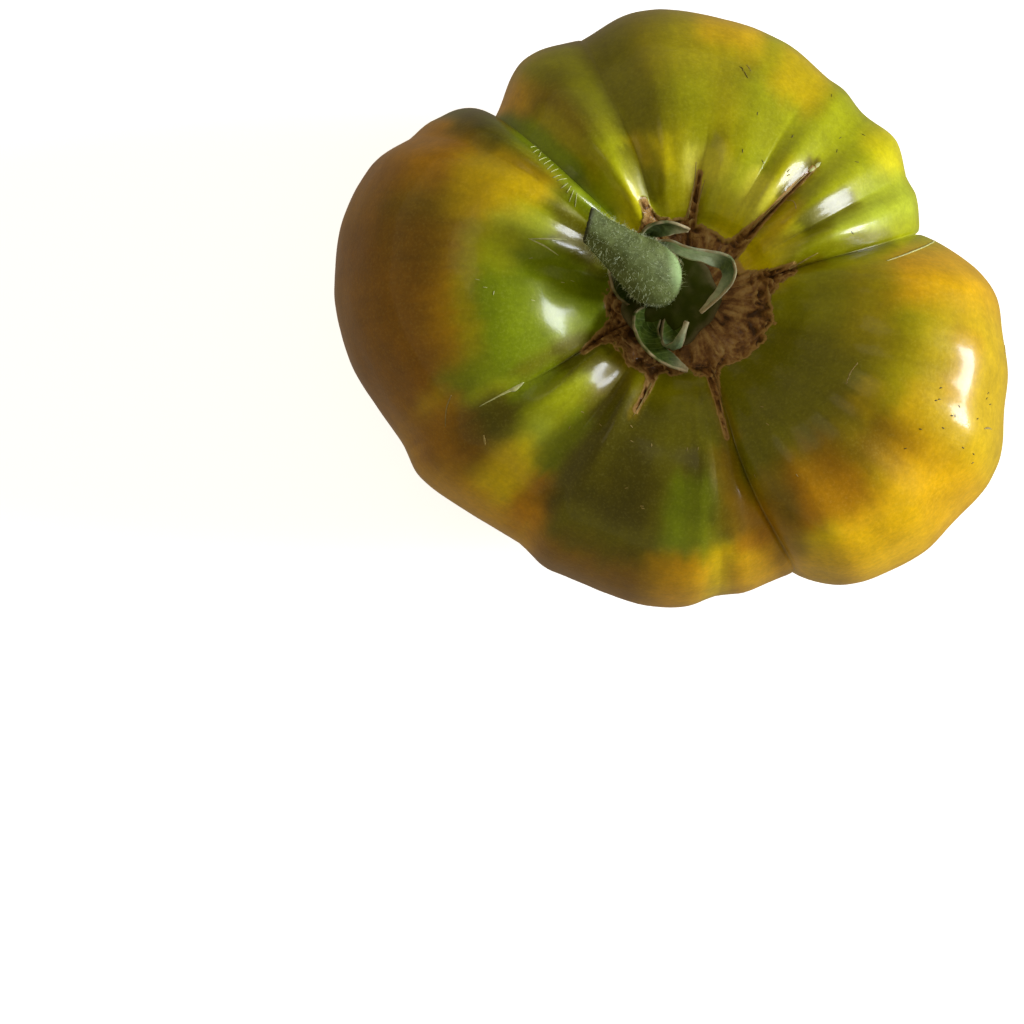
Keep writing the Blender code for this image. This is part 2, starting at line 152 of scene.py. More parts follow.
# The fruit's form, as in the solids
fruit = {
    "meanGirth": 50.0,
    "scarFloor": 53.0,
    "edgeStation": 2,
    "fadeStation": 3,
    "shoulderStation": 4.5,
    "girthStation": 8,
    "heart": (0.0, 0.0, 30.0),
    "deepestBelowFloor": 0.8,
    "profile": [(0.0, 53.0), (0.19, 53.1), (0.265, 55.0), (0.355, 59.2), (0.48, 63.2), (0.63, 64.0),
                (0.81, 59.2), (0.945, 47.5), (1.0, 33.5), (0.945, 18.8), (0.79, 6.6), (0.56, 1.2),
                (0.3, 0.0), (0.0, 0.0)],
    "furrowShare": [0.0, 0.1, 0.5, 0.95, 1.0, 1.0, 1.0, 1.0, 1.0, 0.8, 0.5, 0.25, 0.0, 0.0],
    "girthShare": [0.0, 0.0, 0.15, 0.4, 0.65, 0.85, 1.0, 1.0, 1.0, 1.0, 0.9, 0.7, 0.5, 0.0],
    "heightShare": [0.0, 0.0, 0.2, 0.7, 1.0, 1.0, 0.8, 0.4, 0.1, 0.0, 0.0, 0.0, 0.0, 0.0],
    "swells": [(2, 50.7), (24, 42.4), (38, 44.1), (52, 44.3), (72, 46.4), (95, 48.3), (121, 47.5),
               (131, 48.1), (140, 48.7), (153, 54.2), (168, 56.3), (188, 54.2), (200, 51.7), (213, 49.7),
               (224, 47.2), (248, 47.1), (268, 48.0), (285, 47.0), (302, 53.0), (316, 55.4), (333, 56.6),
               (350, 52.9)],
    "falls": [(0, 0.1), (14, 0.8), (28, 1.0), (60, 1.0), (95, 0.7), (125, 0.7), (137, 0.2), (152, 0.0),
              (200, 0.0), (218, 0.5), (240, 0.4), (265, 0.3), (288, 0.1), (310, 0.0)],
    "fallHeights": [0.0, 0.0, 2.2, 1.8, -1.4, -5.2, -6.6, -3.2, 0.0, 0.0, 0.0, 0.0, 0.0, 0.0],
    "rises": [(0, 0.0), (30, -3.0), (75, -3.0), (115, -1.5), (142, 1.0), (185, 2.5), (220, -1.0),
              (262, -1.5), (325, 1.5)],
    "furrows": {
        # name: angles at the scar, shoulder and girth, depths on the shoulder and the girth, the station
        # that it has the second depth from, and its banks (width, tightness), the clockwise one first
        "eastFold": ((14, 15, 17.6), (5.5, 4.6), 8, (20, 0.7), (9.5, 0.6)),
        "eastGroove": ((30, 29.5, 30.5), (1.6, 0.5), 8, (5, 0.2), (8, 0.2)),
        "northEastCrack": ((47, 46, 46.5), (4.2, 1.1), 5.2, (9, 0.8), (9, 1.0)),
        "northEastGroove": ((61, 61, 57.5), (1.1, 0.6), 7, (7, 0.2), (12, 0.6)),
        "northCrack": ((88, 85, 84), (2.8, 0.3), 4.5, (9, 0.6), (12, 0.6)),
        "northGroove": ((116, 112, 110.5), (2.8, 1.7), 8, (12, 0.15), (10, 0.4)),
        "northWestFold": ((135, 137.5, 135.0), (7.0, 5.4), 8, (14, 0.1), (6, 1.0)),
        "westRibGroove": ((148, 146, 149), (1.2, 1.0), 8, (5, 0.1), (7, 0.1)),
        "westHollow": ((152, 155, 158), (2.0, 0.1), 5, (6, 0.0), (9, 0.2)),
        "westDip": ((169, 171, 172), (1.8, 0.2), 5, (7, 0.0), (7, 0.2)),
        "southWestFold": ((203, 208.5, 205), (6.5, 1.2), 6, (24, 0.8), (8, 0.7)),
        "southWestGroove": ((228, 230.5, 235.5), (3.2, 1.3), 8, (15, 0.1), (9, 0.15)),
        "southCrack": ((243.5, 245, 248), (2.2, 0.5), 4, (8, 0.4), (16, 0.1)),
        "southGroove": ((275, 276.5, 277), (1.0, 0.6), 8, (6, 0.1), (6, 0.1)),
        "southFold": ((287, 285, 293.8), (6.0, 4.2), 8, (12, 0.5), (15, 0.8)),
        "southEastDip": ((304, 305, 308), (0.7, 0.5), 8, (9, 0.0), (9, 0.0)),
        "eastLobeDip": ((320, 321, 323), (0.9, 0.6), 8, (8, 0.0), (8, 0.0)),
        "eastLobeGroove": ((338, 340, 341), (1.0, 0.7), 8, (8, 0.0), (8, 0.0)),
        "eastRimDip": ((357, 358, 356), (0.7, 0.6), 8, (8, 0.0), (8, 0.0)),
    },
}


def spline(points, step):
    # a smooth curve through the points, read at each step
    values = np.asarray(points, float)
    last = len(values) - 1
    step = np.clip(step, 0.0, last)
    first = np.minimum(step.astype(int), last - 1)
    part = step - first
    before, start, end, after = (values[np.clip(first + k, 0, last)] for k in (-1, 0, 1, 2))
    if values.ndim == 2:
        part = part[:, None]
    return 0.5 * (2 * start + (end - before) * part + (2 * before - 5 * start + 4 * end - after) * part**2
                  + (3 * start - before - 3 * end + after) * part**3)


def smooth(part):
    part = np.clip(part, 0.0, 1.0)
    return part * part * (3 - 2 * part)


def around(stations, angle):
    # a smooth closed curve through (angle, value) stations, read at each angle
    places = np.array([place for place, _ in stations], float)
    values = np.array([value for _, value in stations], float)
    count = len(places)
    angle = np.mod(angle, 360)
    following = np.searchsorted(places, angle, side="right") % count
    before, start, end, after = ((following + k) % count for k in (-2, -1, 0, 1))
    gapBefore = np.mod(places[start] - places[before], 360)
    gap = np.mod(places[end] - places[start], 360)
    gapAfter = np.mod(places[after] - places[end], 360)
    leaving = (values[end] - values[before]) / (gapBefore + gap) * gap
    arriving = (values[after] - values[start]) / (gap + gapAfter) * gap
    part = np.mod(angle - places[start], 360) / gap
    rise = values[end] - values[start]
    return (values[start] + leaving * part + (3 * rise - 2 * leaving - arriving) * part**2
            + (-2 * rise + leaving + arriving) * part**3)


def fromAngle(angle, middle):
    # degrees from the middle angle, -180 to 180
    return np.mod(angle - middle + 180, 360) - 180


def furrowAngle(angles, station):
    scar, shoulder, girth = angles
    middle, last = fruit["shoulderStation"], fruit["girthStation"]
    edge = fruit["edgeStation"]
    early = scar + (shoulder - scar) * smooth((station - edge) / (middle - edge))
    late = shoulder + (girth - shoulder) * smooth((station - middle) / (last - middle))
    return np.where(station < middle, early, late)


def furrowCut(angle, station):
    # how deep the furrows are at each place: a fold drops straight in, a dip is rounded
    cut = np.zeros_like(angle)
    for angles, (shoulder, girth), fades, clockwise, anticlockwise in fruit["furrows"].values():
        offset = fromAngle(angle, furrowAngle(angles, station))
        width = np.where(offset > 0, anticlockwise[0], clockwise[0])
        tightness = np.where(offset > 0, anticlockwise[1], clockwise[1])
        share = np.minimum(np.abs(offset) / width, 1.0)
        fold = 1 - np.sqrt(np.maximum(1 - (1 - share) ** 2, 0))
        dip = np.cos(share * math.pi / 2) ** 2
        gone = smooth((station - fruit["fadeStation"]) / (fades - fruit["fadeStation"]))
        if fades < fruit["girthStation"]:
            tightness = tightness * (1 - gone)
        depth = shoulder + (girth - shoulder) * gone
        cut += depth * (tightness * fold + (1 - tightness) * dip) * (share < 1)
    return cut * spline(fruit["furrowShare"], station)


def skinPoints(angle, station):
    outline = spline(fruit["profile"], station)
    share, height = outline[:, 0], outline[:, 1]
    girth = around(fruit["swells"], angle)
    mean = fruit["meanGirth"]
    radius = np.maximum(share, 0) * (mean + (girth - mean) * spline(fruit["girthShare"], station))
    height = height + around(fruit["rises"], angle) * spline(fruit["heightShare"], station)
    height = height + around(fruit["falls"], angle) * spline(fruit["fallHeights"], station)
    turn = np.radians(angle)
    place = np.stack([radius * np.cos(turn), radius * np.sin(turn), height], axis=1)
    place = place + unit(np.array(fruit["heart"]) - place) * furrowCut(angle, station)[:, None]
    low = fruit["scarFloor"] - fruit["deepestBelowFloor"]
    place[:, 2] = np.where(station < fruit["shoulderStation"], np.maximum(place[:, 2], low), place[:, 2])
    place[:, 2] = np.where(station >= len(fruit["profile"]) - 2, 0.0, place[:, 2])
    return place


fruitMesh = {
    "columns": 480,
    "fewestColumns": 8,
    "evenShare": 0.6,
    # how many rings of the mesh lie in each step of the outline, close together over the scar and its edge
    "ringsPerStep": [6, 22, 26, 20, 18, 18, 18, 16, 14, 12, 10, 8, 6],
    # the grain, which the streaks follow, is a place on a cylinder: its radius, and the reach per step up it
    "grainRadius": 24,
    "grainStep": 9,
    "swell": [(0.13, 7.0, 1.0), (0.035, 2.6, 2.0)],
    "lastSwellStation": 11,
}


def columnAngles(station):
    # every column's angle at this station: furrows keep columns of their own, closer together by the fold
    furrows = [values[0] for values in fruit["furrows"].values()]
    girths = [angles[2] for angles in furrows]
    gaps = [(girths[(k + 1) % len(girths)] - girths[k]) % 360 for k in range(len(girths))]
    counts = [max(fruitMesh["fewestColumns"], round(gap / 360 * fruitMesh["columns"])) for gap in gaps]
    counts[counts.index(max(counts))] += fruitMesh["columns"] - sum(counts)
    even = fruitMesh["evenShare"]
    pieces = []
    for k, count in enumerate(counts):
        share = np.arange(count) / count
        share = even * share + (1 - even) * (1 - np.cos(share * math.pi)) / 2
        start = furrowAngle(furrows[k], station)
        gap = np.mod(furrowAngle(furrows[(k + 1) % len(furrows)], station) - start, 360)
        pieces.append(start + gap * share)
    return np.concatenate(pieces)


def ringStations():
    steps = fruitMesh["ringsPerStep"]
    stations = [step + k / count for step, count in enumerate(steps) for k in range(count)]
    return np.array(stations + [len(steps)])


# Skin colours by their albedo, from unripe shoulder to ripe flank, then scars and cork; the patches also lay
# some of them as painted light and shade
paints = {
    "darkOlive": "#534D00",
    "olive": "#6B6700",
    "moss": "#7C7700",
    "brownOlive": "#846F00",
    "deepGreen": "#596700",
    "leafGreen": "#768600",
    "freshGreen": "#8C9E08",
    "green": "#949300",
    "lime": "#A0A304",
    "paleLime": "#B2BE30",
    "mustard": "#A69800",
    "gold": "#C4A400",
    "yellow": "#D6B400",
    "brightYellow": "#E0CE00",
    "honey": "#DCA800",
    "amber": "#C89800",
    "orange": "#BC8400",
    "rust": "#A47400",
    "russet": "#936400",
    "brown": "#735D00",
    # painted light: a pale straw yellow that stands for light on the inner slopes of the ribs beside the
    # scar, and for one highlight
    "paintedLightStraw": "#DCD43C",
    "sunYellow": "#F2C000",
    "darkRust": "#7E5400",
    "scarPale": "#BDBE78",
    "scarTan": "#A08A48",
    "scarDark": "#54460A",
    "corkLight": "#CBAA6C",
    "corkTan": "#B88E50",
    "cork": "#8C6030",
    "corkDark": "#4C2E10",
}

ripening = {
    # how far out the green reaches, as (angle, reach)
    "greenEdge": [(0, 26), (5, 26), (10, 29), (15, 38), (20, 48), (60, 48), (110, 50), (126, 42), (132, 35),
                  (135, 38), (138, 50), (142, 50), (146, 28), (152, 27), (158, 29), (165, 33), (172, 34),
                  (190, 34), (200, 37), (205, 38), (209, 37), (213, 42), (217, 42), (221, 33), (226, 31),
                  (231, 33), (237, 37), (244, 42), (252, 42), (260, 40), (268, 39), (274, 38), (279, 36),
                  (282, 26), (286, 28), (289, 34), (293, 34), (297, 28), (305, 28), (310, 36), (316, 37),
                  (321, 36), (327, 30), (333, 30), (341, 34), (347, 38), (351, 36), (355, 29)],
    # paint at millimetres from that edge
    "steps": [(-24, "moss"), (-12, "olive"), (-4, "moss"), (1, "mustard"), (7, "amber"), (20, "amber")],
    "wander": 0.9,
    "wanderSeeds": (3, 30),
    "scarReach": 10.0,
    "fibres": 0.9,
    "fibreLayers": [(1, 1.0, 3), (0.5, 0.45, 8)],
}

patches = [
    # paint, angles, reaches, soft edge in millimetres, strength
    # east lobe
    ("moss", (335, 372), (0, 21), 4, 1),
    ("mustard", (338, 372), (25, 28), 3, 1),
    ("amber", (352, 368), (33, 60), 4, 1),
    ("honey", (363, 369), (34, 42), 3, 0.8),
    ("green", (346.5, 350.5), (31, 37), 2.5, 0.9),
    ("mustard", (325, 345), (27, 33), 3, 0.9),
    ("honey", (323, 331), (37, 60), 3, 0.9),
    ("gold", (333, 352), (38, 60), 4, 0.8),
    ("green", (322, 330), (26, 31), 2, 0.3),
    ("moss", (309.5, 314), (31, 35), 2, 0.9),
    ("brownOlive", (315.5, 321), (27, 34.5), 2.5, 1),
    ("honey", (306, 321), (41, 60), 3.5, 0.8),
    ("rust", (297, 306), (29, 35), 3, 1),
    ("orange", (297, 307), (36, 40), 2.5, 0.9),
    ("honey", (297, 306), (43, 60), 3, 0.9),
    ("brightYellow", (293.5, 297.5), (42, 60), 2, 1),
    ("olive", (284, 331), (15, 24), 4, 0.9),
    # the fan of narrow ribs, from the east fold round to the north west fold
    # the bright yellows close to the scar are partly the skin's own yellow and partly painted light on the
    # ribs' inner slopes
    ("yellow", (18, 46), (9, 13), 2.5, 0.9),
    ("brightYellow", (23, 30), (13, 16), 2, 0.9),
    ("lime", (18, 28), (18, 60), 3, 1),
    ("moss", (18, 21), (17, 27), 1.5, 0.7),
    ("lime", (26, 29), (19, 36), 1.5, 0.8),
    ("olive", (30, 32.5), (21, 29), 1.5, 0.9),
    ("moss", (29.5, 32), (16, 35), 1.6, 0.8),
    ("brightYellow", (34, 41), (13, 16), 1.8, 0.9),
    ("lime", (34, 44), (19, 60), 2.5, 1),
    ("gold", (42, 49), (13, 19), 2, 0.9),
    ("moss", (44.5, 47), (22, 31), 1.3, 0.8),
    ("yellow", (49.5, 53), (9, 15), 2, 0.8),
    ("green", (47.5, 51), (19, 24), 1.8, 0.8),
    ("lime", (49, 60), (24, 60), 3, 0.9),
    ("brightYellow", (54, 62), (10, 18), 2.5, 1),
    ("yellow", (57, 61), (18, 23), 2, 0.8),
    ("brightYellow", (62, 82), (9, 14), 3, 0.9),
    ("yellow", (61, 64), (35, 43), 2.5, 0.7),
    ("lime", (62, 84), (18, 60), 4, 1),
    ("green", (67, 77), (26, 36), 3, 0.8),
    ("moss", (75, 77.3), (34.5, 36.8), 1.2, 0.9),
    ("brightYellow", (79, 81.5), (18, 21), 1.3, 1),
    ("yellow", (78, 87), (40, 60), 3, 0.6),
    ("mustard", (82, 90), (22, 60), 3, 0.7),
    # painted highlight: bright yellow on the inner end of the rib at 86 to 90 degrees
    ("brightYellow", (86.5, 90), (17, 20.5), 1.3, 0.7),
    ("lime", (91, 99), (11, 20), 3, 0.8),
    ("green", (90, 99), (22, 45), 3, 0.9),
    ("mustard", (98, 108), (13, 24), 2.5, 0.7),
    ("brightYellow", (102.5, 104.5), (19.5, 24), 1.2, 0.7),
    ("moss", (101, 114), (28, 43), 3, 1),
    ("moss", (110, 114), (16, 21), 1.5, 0.7),
    ("yellow", (111.6, 113), (21, 24), 1, 0.6),
    ("lime", (116, 118.5), (30, 43), 1.5, 0.9),
    ("green", (119, 124), (17, 42), 2.5, 0.9),
    ("moss", (122, 126), (28, 40), 2, 0.9),
    # painted highlight: pale lime and bright yellow on the inner end of the rib beside the north west fold
    ("paleLime", (123, 130), (12, 17), 2, 0.8),
    ("brightYellow", (126, 131), (11, 19), 2, 0.8),
    ("lime", (124, 132), (20, 25), 2, 0.8),
    ("brownOlive", (126, 130), (31, 37), 2, 0.9),
    ("mustard", (130, 134), (24, 34), 2, 0.9),
    ("honey", (130, 134), (41, 60), 2.5, 0.9),
    # rib beside the north west fold
    ("leafGreen", (135, 137.5), (24, 42), 1.2, 1),
    ("deepGreen", (138.3, 142), (18, 60), 1.4, 1),
    # pale lime and bright yellow along the west rib groove: partly the skin's own pale line, partly painted
    # light where the groove is lit
    ("paleLime", (143.6, 146), (22, 31), 1.4, 0.9),
    ("brightYellow", (143.6, 145.4), (31, 38), 1.4, 0.9),
    ("leafGreen", (145, 150), (16, 22), 2, 0.9),
    # west lobe
    ("gold", (146, 152), (27, 41), 2.5, 1),
    # the olive and dark olive here are partly the skin's own green and partly painted shade in the hollow
    # beside the scar
    ("olive", (151, 159), (12, 23), 2, 1),
    ("darkOlive", (154.5, 160), (19, 22), 1.5, 0.8),
    ("yellow", (154, 160), (33, 38), 2.5, 0.9),
    ("orange", (148, 158), (42, 60), 3, 0.9),
    ("lime", (158, 164), (25, 28), 2, 0.9),
    ("gold", (158, 166), (30, 36), 2.5, 0.8),
    # partly painted sheen: pale lime where the west lobe's shoulder reflects light, over its own lighter
    # green
    ("paleLime", (163, 168.5), (22, 30), 2.5, 0.75),
    ("leafGreen", (170, 206), (12, 31.5), 2.5, 1),
    ("lime", (167, 172), (29, 33), 2, 0.8),
    ("mustard", (168, 200), (34.5, 35.5), 2, 0.9),
    ("orange", (168, 200), (37.5, 38.5), 1.8, 0.6),
    ("russet", (172, 200), (42, 70), 2.5, 1),
    ("rust", (180, 202), (50, 70), 3, 0.7),
    ("brown", (163, 171), (41, 46), 4, 0.8),
    ("russet", (158, 172), (49, 70), 3, 0.8),
    ("leafGreen", (200, 206), (33, 38), 2.2, 0.9),
    ("gold", (203, 206), (41, 43), 2, 0.7),
    # south west lobe
    # partly painted shade: olive in the crease of the south west fold, over its own green
    ("olive", (206, 211), (18, 28), 1.6, 1),
    ("lime", (207, 210), (32, 36), 1.5, 0.9),
    ("moss", (212, 230), (12, 15), 2, 0.9),
    ("leafGreen", (211.5, 218), (21, 31), 2, 1),
    ("olive", (211, 217.5), (34, 41), 2, 1),
    ("lime", (219, 229), (22, 31), 2.5, 0.8),
    ("paleLime", (222, 229), (30, 33), 1.6, 0.7),
    ("brightYellow", (222.5, 227), (34, 42), 2, 1),
    ("yellow", (219.5, 229), (37, 46), 2, 0.7),
    ("orange", (207, 213), (41, 46), 2.5, 0.9),
    ("honey", (216, 236), (46, 60), 2.5, 0.9),
    ("brownOlive", (229, 237), (12, 19), 2.5, 1),
    ("olive", (230, 238), (22, 33), 2.2, 1),
    ("rust", (231, 236), (36, 39), 1.8, 1),
    ("orange", (231, 239), (41, 43), 1.6, 1),
    ("honey", (230, 242), (45, 60), 1.8, 0.9),
    # south lobe
    ("moss", (240, 280), (10, 17), 2.5, 0.9),
    ("darkOlive", (237, 261), (20, 36), 2.5, 1),
    ("olive", (240, 262), (38, 41.5), 1.8, 1),
    ("rust", (240, 262), (44, 60), 1.8, 1),
    ("olive", (261, 279), (18, 25), 2.5, 0.8),
    ("olive", (261.5, 265), (26, 36), 1.5, 0.9),
    ("leafGreen", (265.5, 269), (29, 33), 1.6, 1),
    ("freshGreen", (266.5, 270), (34, 38), 1.6, 1),
    ("darkOlive", (270.5, 278), (25, 33), 2, 1),
    ("moss", (270.5, 274.5), (36, 37.5), 1.6, 0.8),
    ("honey", (263, 277), (41, 60), 1.8, 1),
    ("yellow", (276, 280.5), (39, 60), 1.6, 1),
    ("moss", (278.5, 281.5), (23, 35), 1.5, 1),
    ("amber", (281.5, 285), (25, 30), 1.6, 0.75),
    ("orange", (282.5, 287.5), (31, 38), 1.8, 1),
    ("honey", (282, 290), (41, 60), 1.8, 1),
    ("olive", (286.8, 291), (16, 28), 1.8, 1),
    ("brownOlive", (287.5, 292), (30, 35), 1.8, 0.9),
    # the folds that the cracks run out into: brownish olive, partly the skin's own colour and partly painted
    # shade in the folds
    ("brownOlive", (45.8, 48.8), (13, 27), 0.7, 0.75),
    ("brownOlive", (86.5, 90.5), (12, 19), 0.7, 0.7),
    ("brownOlive", (13, 16.5), (14, 20), 0.6, 0.6),
    ("brownOlive", (242.5, 245), (14, 20), 0.6, 0.6),
    ("brownOlive", (281.5, 285), (14, 22), 0.6, 0.7),
    # yellow shoulders and rims
    ("gold", (60, 66), (36, 42), 2.5, 0.8),
    ("gold", (76, 88), (41, 46), 3, 0.6),
    ("mustard", (86, 98), (36, 47), 3, 0.7),
    ("sunYellow", (293, 312), (44.5, 52), 3, 0.7),
    ("sunYellow", (77, 85), (42, 47), 2, 0.6),
    ("brightYellow", (34, 40), (38, 43), 2, 0.6),
    ("gold", (324, 330), (28.5, 30.5), 1.2, 0.5),
    ("orange", (286.5, 289.5), (34, 38), 1.5, 0.6),
    ("orange", (338, 350), (39.5, 42), 1.5, 0.4),
    # painted light on the inner slopes of the ribs beside the scar, then pale and green patches
    ("paintedLightStraw", (54, 62), (15, 19), 1.2, 0.8),
    # painted highlight on the inner end of the rib at 85 to 90 degrees
    ("paintedLightStraw", (80, 90), (17, 20.5), 1.2, 0.6),
    ("paintedLightStraw", (24, 30), (14, 17), 1, 0.35),
    ("paintedLightStraw", (72, 79), (15, 19), 1.2, 0.35),
    ("paleLime", (24, 29), (31, 38), 2, 0.6),
    # painted highlight on the rib at 22.5 to 26 degrees
    ("paleLime", (22.5, 26), (24, 32), 1, 0.6),
    ("green", (352, 368), (14, 20), 2, 0.5),
    ("leafGreen", (133.5, 137.5), (26, 35), 1.2, 0.8),
    ("leafGreen", (226.5, 229.5), (25, 33), 1.2, 0.6),
    ("leafGreen", (266, 270.5), (29, 37), 2, 0.6),
    ("freshGreen", (134, 137), (28, 35), 1.2, 0.5),
    # dark green in the folds: partly the skin's own darker green, partly painted shade where the folds and
    # grooves are shaded
    ("deepGreen", (138.5, 141.5), (24, 40), 1, 0.7),
    ("olive", (14.5, 17.5), (25, 32), 1, 0.7),
    ("olive", (114.5, 117.5), (16, 23), 0.8, 0.7),
    ("darkOlive", (30.5, 33.5), (19.5, 28), 1, 0.8),
    ("darkOlive", (47, 49), (20, 27), 0.7, 0.8),
    ("darkOlive", (154, 162), (16, 21), 1.2, 0.8),
    ("darkOlive", (162, 166), (13.5, 15.5), 0.8, 0.7),
    ("darkOlive", (203, 212), (17.5, 22), 1.2, 0.8),
    ("darkOlive", (214, 229), (16, 18.5), 1, 0.7),
    ("darkOlive", (209.5, 214), (33, 39), 2, 0.85),
    ("darkOlive", (141, 144), (37, 43), 1.5, 0.7),
    # russet and brown on the flanks and beside the folds: partly the skin's own colour, partly painted shade
    # on the west flank away from the window light and beside the folds
    ("brown", (165, 171), (40, 46), 2, 0.8),
    ("darkRust", (170, 193), (42, 50), 4, 0.75),
    ("darkRust", (206, 216), (40.5, 45), 2.5, 0.6),
    ("brown", (242, 262), (41.5, 46), 2, 0.5),
    ("brown", (278.5, 281.5), (24, 35), 1.2, 0.7),
    ("brown", (291, 293.5), (33, 42), 1.2, 0.6),
    ("russet", (317, 323), (34, 38), 2, 0.5),
]

# The underside ripens to one paint from the top height down, over the depth
underside = {"paint": "amber", "top": 29.0, "wander": 3, "depth": 18.0, "strength": 0.85}

# The corky scar's outer edge as (angle, reach), and the corky cracks that run out from it
cork = {
    "edge": [(0, 12.2), (8, 13.5), (13, 15.5), (18, 13), (22, 10.2), (30, 9.4), (40, 9.4), (44, 11),
             (47, 13), (50, 11), (55, 10.2), (65, 10.2), (75, 10.3), (83, 10.8), (90, 11.5), (97, 11.8),
             (105, 12), (112, 12.6), (118, 14.2), (123, 13.2), (130, 12.6), (150, 12.5), (180, 12.6),
             (186, 13.6), (192, 12.8), (200, 13.8), (207, 15.8), (212, 13.9), (225, 13.9), (238, 13.8),
             (244, 14.5), (250, 12.4), (262, 11.6), (272, 11.2), (280, 12.5), (286, 14), (292, 12),
             (300, 11.6), (315, 12.4), (330, 12.8), (345, 12.4), (355, 12)],
    "edgeWander": 0.8,
    "ragged": [(1, 1.6, 4), (0.6, 0.7, 9)],
    "edgeSoft": 0.5,
    "crackSoft": 0.45,
    "crackRagged": 0.15,
    "lastStation": 6,
    "cracks": {
        # name: points as (angle, reach, half width)
        "northEast": [(48.5, 8.5, 1.3), (47.6, 12.5, 0.7), (47, 15, 0.22), (46.6, 21, 0.1),
                      (46.2, 26.5, 0.05)],
        "north": [(91, 9.5, 1.0), (90, 12, 0.5), (88, 15, 0.25), (86.7, 18, 0.1)],
        "east": [(12, 11, 1.1), (14, 13.5, 0.7), (15.5, 15.5, 0.2)],
        "south": [(243.5, 13, 0.6), (244.3, 16, 0.25), (243.5, 19.5, 0.08)],
        "southEast": [(286, 11, 1.0), (284, 14, 0.5), (282.5, 18, 0.2), (282.5, 22, 0.08)],
        "southWest": [(203, 13, 0.9), (206, 16, 0.5), (208, 18.5, 0.15)],
        "northWest": [(118.5, 12, 0.8), (118.5, 15.5, 0.4)],
    },
    "sunk": 0.45,
    "wrinkle": 0.55,
    "lip": 0.28,
    # folds as (height, size), winding by so much over such a size
    "folds": [(0.7, 2.6), (0.5, 1.3)],
    "wind": 1.1,
    "windSize": 2.4,
    "level": 0.6,
    "crumbs": [(0.35, 0.55, 6)],
    "heaps": [(0.45, 4.5, 66)],
    # thin curling skins: their height, how far apart they lie and how sharp their edges are
    "skins": 0.9,
    "skinGap": 2.1,
    "skinEdge": 0.07,
}


def strokeMask(angle, reach, path, soft):
    # 1 on a stroke of changing width along (angle, reach, half width) points, falling to 0 within soft
    mask = np.zeros_like(angle)
    for (angle0, reach0, half0), (angle1, reach1, half1) in zip(path, path[1:]):
        turn = fromAngle(angle, angle0) * math.pi / 180 * reach
        across, out = (angle1 - angle0) * math.pi / 180 * (reach0 + reach1) / 2, reach1 - reach0
        along = np.clip((turn * across + (reach - reach0) * out) / (across**2 + out**2), 0, 1)
        away = np.hypot(turn - along * across, reach - reach0 - along * out)
        mask = np.maximum(mask, smooth(1 - (away - (half0 + (half1 - half0) * along)) / soft))
    return mask


def paintSkin(angle, reach, place, grain):
    # the skin's colour before mottling: ripening out from the scar, then the patches laid over it
    drift = [layered(place, [(1, 9.0, seed), (0.5, 3.2, seed + 5)]) for seed in ripening["wanderSeeds"]]
    wander = ripening["wander"]
    reachHere = reach + wander * drift[0] + ripening["fibres"] * layered(grain, ripening["fibreLayers"])
    angleHere = angle + np.degrees(0.7 * wander * drift[1] / np.maximum(reach, ripening["scarReach"]))
    edgeAngles, edgeReaches = zip(*ripening["greenEdge"], (360, ripening["greenEdge"][0][1]))
    edge = np.interp(np.mod(angleHere, 360), edgeAngles, edgeReaches)
    steps = [past for past, _ in ripening["steps"]]
    colours = np.array([toLinear(paints[name])[:3] for _, name in ripening["steps"]])
    colour = np.stack([np.interp(reachHere - edge, steps, colours[:, k]) for k in range(3)], axis=1)
    for name, (start, end), (inner, outer), soft, strength in patches:
        offset = np.abs(fromAngle(angleHere, (start + end) / 2))
        beside = np.maximum(offset - (end - start) / 2, 0) * math.pi / 180 * reach
        beyond = np.maximum(np.maximum(inner - reachHere, reachHere - outer), 0)
        mask = smooth(1 - np.hypot(beside, beyond) / (2 * soft)) * strength
        colour += (np.array(toLinear(paints[name])[:3]) - colour) * mask[:, None]
    # the underside has ripened evenly
    fall = underside["top"] + underside["wander"] * drift[0] - place[:, 2]
    low = smooth(fall / underside["depth"]) * underside["strength"]
    return colour + (np.array(toLinear(paints[underside["paint"]])[:3]) - colour) * low[:, None]


def corkCover(angle, reach, station, place):
    # 1 on the corky scar and its cracks, 0 on the skin
    ragged = layered(place, cork["ragged"])
    edge = around(cork["edge"], angle) + cork["edgeWander"] * ragged
    cover = smooth((edge - reach) / cork["edgeSoft"] + 0.5)
    for path in cork["cracks"].values():
        soft = cork["crackSoft"] + cork["crackRagged"] * ragged
        cover = np.maximum(cover, strokeMask(angle, reach, path, soft))
    return cover * (station < cork["lastStation"])


def corkWrinkles(place):
    # winding folds of two sizes, crumbs, and thin curling skins that stand up in ragged lines
    winding = np.stack([noiseAt(place, cork["windSize"], seed) for seed in (61, 62, 63)], axis=1)
    bent = place + cork["wind"] * winding
    folds = sum(share * (1 - 2 * np.abs(noiseAt(bent, size, 5 + size))) for share, size in cork["folds"])
    skins = np.exp(-(noiseAt(bent, cork["skinGap"], 64) / cork["skinEdge"]) ** 2)
    skins *= smooth(2.5 * noiseAt(place, 3.0, 65) + 0.6)
    return (folds + layered(place, cork["crumbs"]) - cork["level"] + cork["skins"] * skins
            + layered(place, cork["heaps"]))


